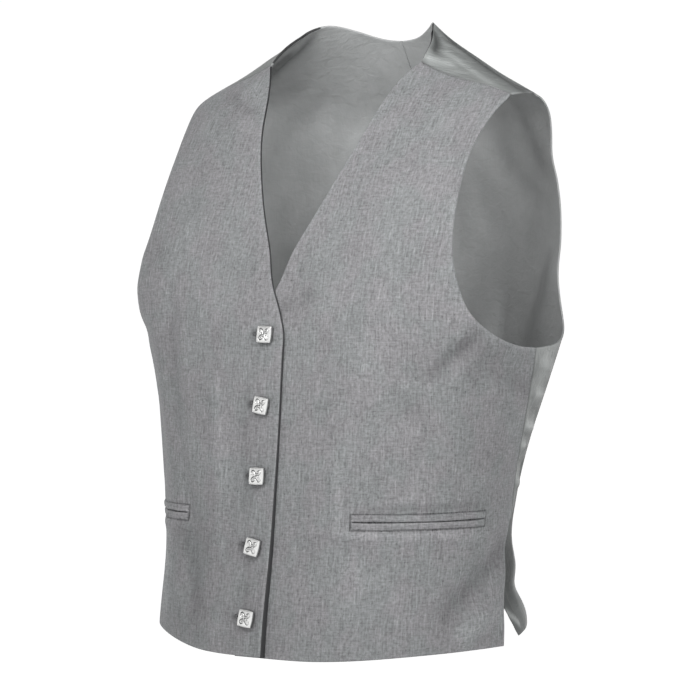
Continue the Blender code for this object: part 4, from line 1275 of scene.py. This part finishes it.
def tube_arrays(path, radius, sides):
    """Closed tube along a ring-free path, mm, with rounded ends left open flat."""
    path = np.asarray(path, float)
    run = np.gradient(path, axis=0)
    run /= np.linalg.norm(run, axis=1, keepdims=True)
    up = np.array([0.0, 0.0, 1.0])
    if abs(np.dot(run[0], up)) > 0.9:
        up = np.array([1.0, 0.0, 0.0])
    a = np.cross(run, up)
    a /= np.linalg.norm(a, axis=1, keepdims=True)
    b = np.cross(a, run)
    t = np.arange(sides) * 2 * pi / sides
    radius = np.asarray(radius, float)[:, None, None]
    ring = path[:, None] + radius * (a[:, None] * np.cos(t)[None, :, None] + b[:, None] * np.sin(t)[None, :, None])
    n = len(path)
    k = np.arange(n * sides).reshape(n, sides)
    f = np.stack([k[:-1], np.roll(k[:-1], -1, 1), np.roll(k[1:], -1, 1), k[1:]], -1).reshape(-1, 4)
    return ring.reshape(-1, 3), f


def place_points(points, matrix):
    m = np.array(matrix)
    return points @ m[:3, :3].T + m[:3, 3] * 1000.0


for i in range(5):
    verts, faces, dark = button_arrays(20 + i)
    # shank: a round post with a flared foot, through the cloth
    zs = np.array([BUTTON_STAND + 0.3, BUTTON_STAND - 0.1, 0.9, 0.0, -1.2, -WOOL_WALL - 0.2, -WOOL_WALL - 0.25])
    rs = np.array([2.1, 1.9, SHANK_RADIUS, SHANK_RADIUS, SHANK_RADIUS, SHANK_RADIUS, 0.05])
    post, post_faces = tube_arrays(np.stack([0 * zs, 0 * zs, zs], -1), rs, 20)
    verts = np.concatenate([verts, post])
    dark = np.concatenate([dark, np.full(len(post), 0.35)])
    faces = np.concatenate([faces, post_faces + len(verts) - len(post)])
    ob = make_mesh("button_%d_cast" % (i + 1), place_points(verts, button_place(i)), faces,
                   [MAT_SILVER], None, None, {"hollow_and_wall_shade": dark})
    bm = bmesh.new()
    bm.from_mesh(ob.data)
    bmesh.ops.recalc_face_normals(bm, faces=bm.faces)
    bm.to_mesh(ob.data)
    bm.free()
    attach(ob, "root")
    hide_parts("button_%d" % (i + 1))


def cloth_under(matrix, x, y):
    """Point and normal of the right front below a button's local x, y (mm)."""
    m = np.array(matrix)
    p = m[:3, 3] * 1000.0 + np.outer(x, m[:3, 0]) + np.outer(y, m[:3, 1])
    z = p[:, 2]
    a = angle_of_x(-p[:, 0], z)
    for _ in range(3):
        q = front_surface(-1, a, z)
        a = a + (q[:, 0] - p[:, 0]) / np.maximum(FRONT(z), 1) * 57.3 * 1.0
        z = z + (p[:, 2] - q[:, 2])
    return front_surface(-1, a, z), surface_normal(-1, a, z)


def build_buttonholes():
    """Purl stitches round each hole, and between them the slit as a dark sheet of painted shade."""
    all_v, all_f, mats = [], [], []
    count = 0
    inner, outer, knots = 1.0, 2.25, 6
    far, near = -13.6, 1.5
    lanes = np.array([-1.0, -0.5, 0.0, 0.5, 1.0])
    xs = np.linspace(near, far + 0.3, 40)
    width = 0.95 * np.clip(np.sqrt(np.maximum((xs - far) / 4.0, 0)), 0.2, 1)
    for i in range(5):
        m = button_place(i)
        rng = np.random.default_rng(70 + i)
        spots = [(x, s * 90.0) for x in np.arange(near, far, -0.56) for s in (1, -1)]
        spots += [(far, t) for t in np.linspace(100, 260, 9)]
        spots = np.array(spots)
        turn = np.radians(spots[:, 1] + rng.uniform(-7, 7, len(spots)))
        ends = outer + rng.uniform(-0.12, 0.2, len(spots))
        reach = inner + (ends[:, None] - inner) * np.linspace(0, 1, knots)[None]
        px = spots[:, :1] + np.cos(turn)[:, None] * reach
        py = np.sin(turn)[:, None] * reach
        slit_x = np.broadcast_to(xs[None], (5, 40))
        slit_y = lanes[:, None] * width[None]
        p, n = cloth_under(m, np.concatenate([px.ravel(), slit_x.ravel()]),
                           np.concatenate([py.ravel(), slit_y.ravel()]))
        k = px.size
        arch = 0.10 + 0.26 * np.sin(np.linspace(0, 1, knots) * pi)
        thread = p[:k].reshape(px.shape + (3,)) + n[:k].reshape(px.shape + (3,)) * arch[None, :, None]
        for path in thread:
            v, f = tube_arrays(path, np.array([0.12, 0.27, 0.28, 0.27, 0.22, 0.08]), 6)
            all_v.append(v)
            all_f.append(f + count)
            mats.append(np.zeros(len(f), int))
            count += len(v)
        sp, sn = p[k:].reshape(5, 40, 3), n[k:].reshape(5, 40, 3)
        gr = sp + sn * (0.16 - 0.06 * (1 - np.abs(lanes)))[:, None, None]
        lo = sp + sn * 0.02
        loop = border(5, 40)
        f = np.concatenate([grid_faces(5, 40), grid_faces(5, 40, 200, True),
                            np.stack([loop, 200 + loop, np.roll(200 + loop, -1), np.roll(loop, -1)], -1)])
        all_v.append(np.concatenate([gr.reshape(-1, 3), lo.reshape(-1, 3)]))
        all_f.append(f + count)
        mats.append(np.ones(len(f), int))
        count += 400
    ob = make_mesh("buttonhole_stitches", np.concatenate(all_v), np.concatenate(all_f),
                   [MAT_THREAD, MAT_SLIT_SHADE], np.concatenate(mats))
    bm = bmesh.new()
    bm.from_mesh(ob.data)
    bmesh.ops.holes_fill(bm, edges=[e for e in bm.edges if e.is_boundary], sides=8)
    bmesh.ops.recalc_face_normals(bm, faces=bm.faces)
    bm.to_mesh(ob.data)
    bm.free()
    ob.data.shade_smooth()
    return ob


holes = build_buttonholes()
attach(holes, "root")

# ----------------------------------------------------------- extra pieces gathered per panel, not used further
for ob, area, uv, node in SHEETS:
    side = 1 if node.endswith("left") else -1
    extra = list(JETS[side]) if node.startswith("front") else []
    if node == "front_right":
        extra.append(holes)

# -------------------------------------------------------------------- stage
FLOOR_Z = -1.50


def build_floor():
    bpy.ops.mesh.primitive_circle_add(vertices=96, radius=40.0, fill_type="NGON",
                                      location=(0.0, 0.0, FLOOR_Z))
    ob = bpy.context.active_object
    ob.name = "floor"
    net = Net("pale_floor")
    place = net.add("ShaderNodeTexCoord").outputs["Object"]
    soft = net.add("ShaderNodeTexNoise", {"Vector": place, "Scale": 1.4, "Detail": 2.0}).outputs["Fac"]
    tone = net.sum(0.80, [(soft, 0.01)])
    net.finish(color=net.grey(tone), rough=0.9, specular=0.1)
    # lit from within far away, so that it meets the white surround unseen
    away = net.add("ShaderNodeVectorMath", {0: place}, operation="LENGTH").outputs["Value"]
    net.put(net.shader.inputs["Emission Strength"], net.ramp(away, 2.4, 6.0, 0.32, 0.935))
    net.shader.inputs["Emission Color"].default_value = (1.0, 1.0, 1.0, 1.0)
    ob.data.materials.append(net.material)


build_floor()


def build_world():
    """White near the horizon, greyer overhead."""
    world = bpy.data.worlds.new("studio")
    bpy.context.scene.world = world
    world.use_nodes = True
    tree = world.node_tree
    back = tree.nodes["Background"]
    place = tree.nodes.new("ShaderNodeTexCoord")
    split = tree.nodes.new("ShaderNodeSeparateXYZ")
    ramp = tree.nodes.new("ShaderNodeMapRange")
    ramp.interpolation_type = "SMOOTHSTEP"
    ramp.inputs["From Min"].default_value = 0.13
    ramp.inputs["From Max"].default_value = 0.55
    ramp.inputs["To Min"].default_value = 1.02
    ramp.inputs["To Max"].default_value = 0.03
    tree.links.new(place.outputs["Generated"], split.inputs[0])
    tree.links.new(split.outputs[2], ramp.inputs["Value"])
    color = tree.nodes.new("ShaderNodeCombineColor")
    for k in range(3):
        tree.links.new(ramp.outputs[0], color.inputs[k])
    tree.links.new(color.outputs[0], back.inputs["Color"])
    back.inputs["Strength"].default_value = 1.0


build_world()


def soft_light(name, azimuth, elevation, distance, size, power, color=(1.0, 1.0, 1.0)):
    """Area light that faces the garment; azimuth 0 is straight in front, + to its left side."""
    data = bpy.data.lights.new(name, "AREA")
    data.shape = "SQUARE"
    data.size = size
    data.energy = power
    data.color = color
    ob = link(bpy.data.objects.new(name, data))
    a, e = radians(azimuth), radians(elevation)
    aim = Vector((0.0, -0.06, -0.22))
    ob.location = aim + Vector((sin(a) * cos(e), -cos(a) * cos(e), sin(e))) * distance
    ob.rotation_mode = "QUATERNION"
    ob.rotation_quaternion = (aim - ob.location).to_track_quat("-Z", "Y")
    return ob


soft_light("key", 10, 31, 1.00, 0.45, 5.2)
soft_light("side", 60, 31, 1.70, 0.80, 13.7)


# ------------------------------------------------------------------- camera
def build_camera():
    data = bpy.data.cameras.new("camera")
    cam = link(bpy.data.objects.new("camera", data))
    azimuth = radians(35.0)
    ahead = Vector((-sin(azimuth), cos(azimuth), 0.0))
    right = Vector((cos(azimuth), sin(azimuth), 0.0))
    yaw, pitch = atan(3 / 3655), atan(150 / 3655)
    level = ahead * cos(yaw) - right * sin(yaw)
    look = level * cos(pitch) - Vector((0.0, 0.0, 1.0)) * sin(pitch)
    cam.location = (1.9502, -2.8131, -0.166)
    cam.rotation_mode = "QUATERNION"
    cam.rotation_quaternion = look.to_track_quat("-Z", "Y")
    data.sensor_width = 36.0
    data.lens = 187.97
    data.clip_end = 100.0
    bpy.context.scene.camera = cam


build_camera()
bpy.context.scene.view_settings.view_transform = "Standard"
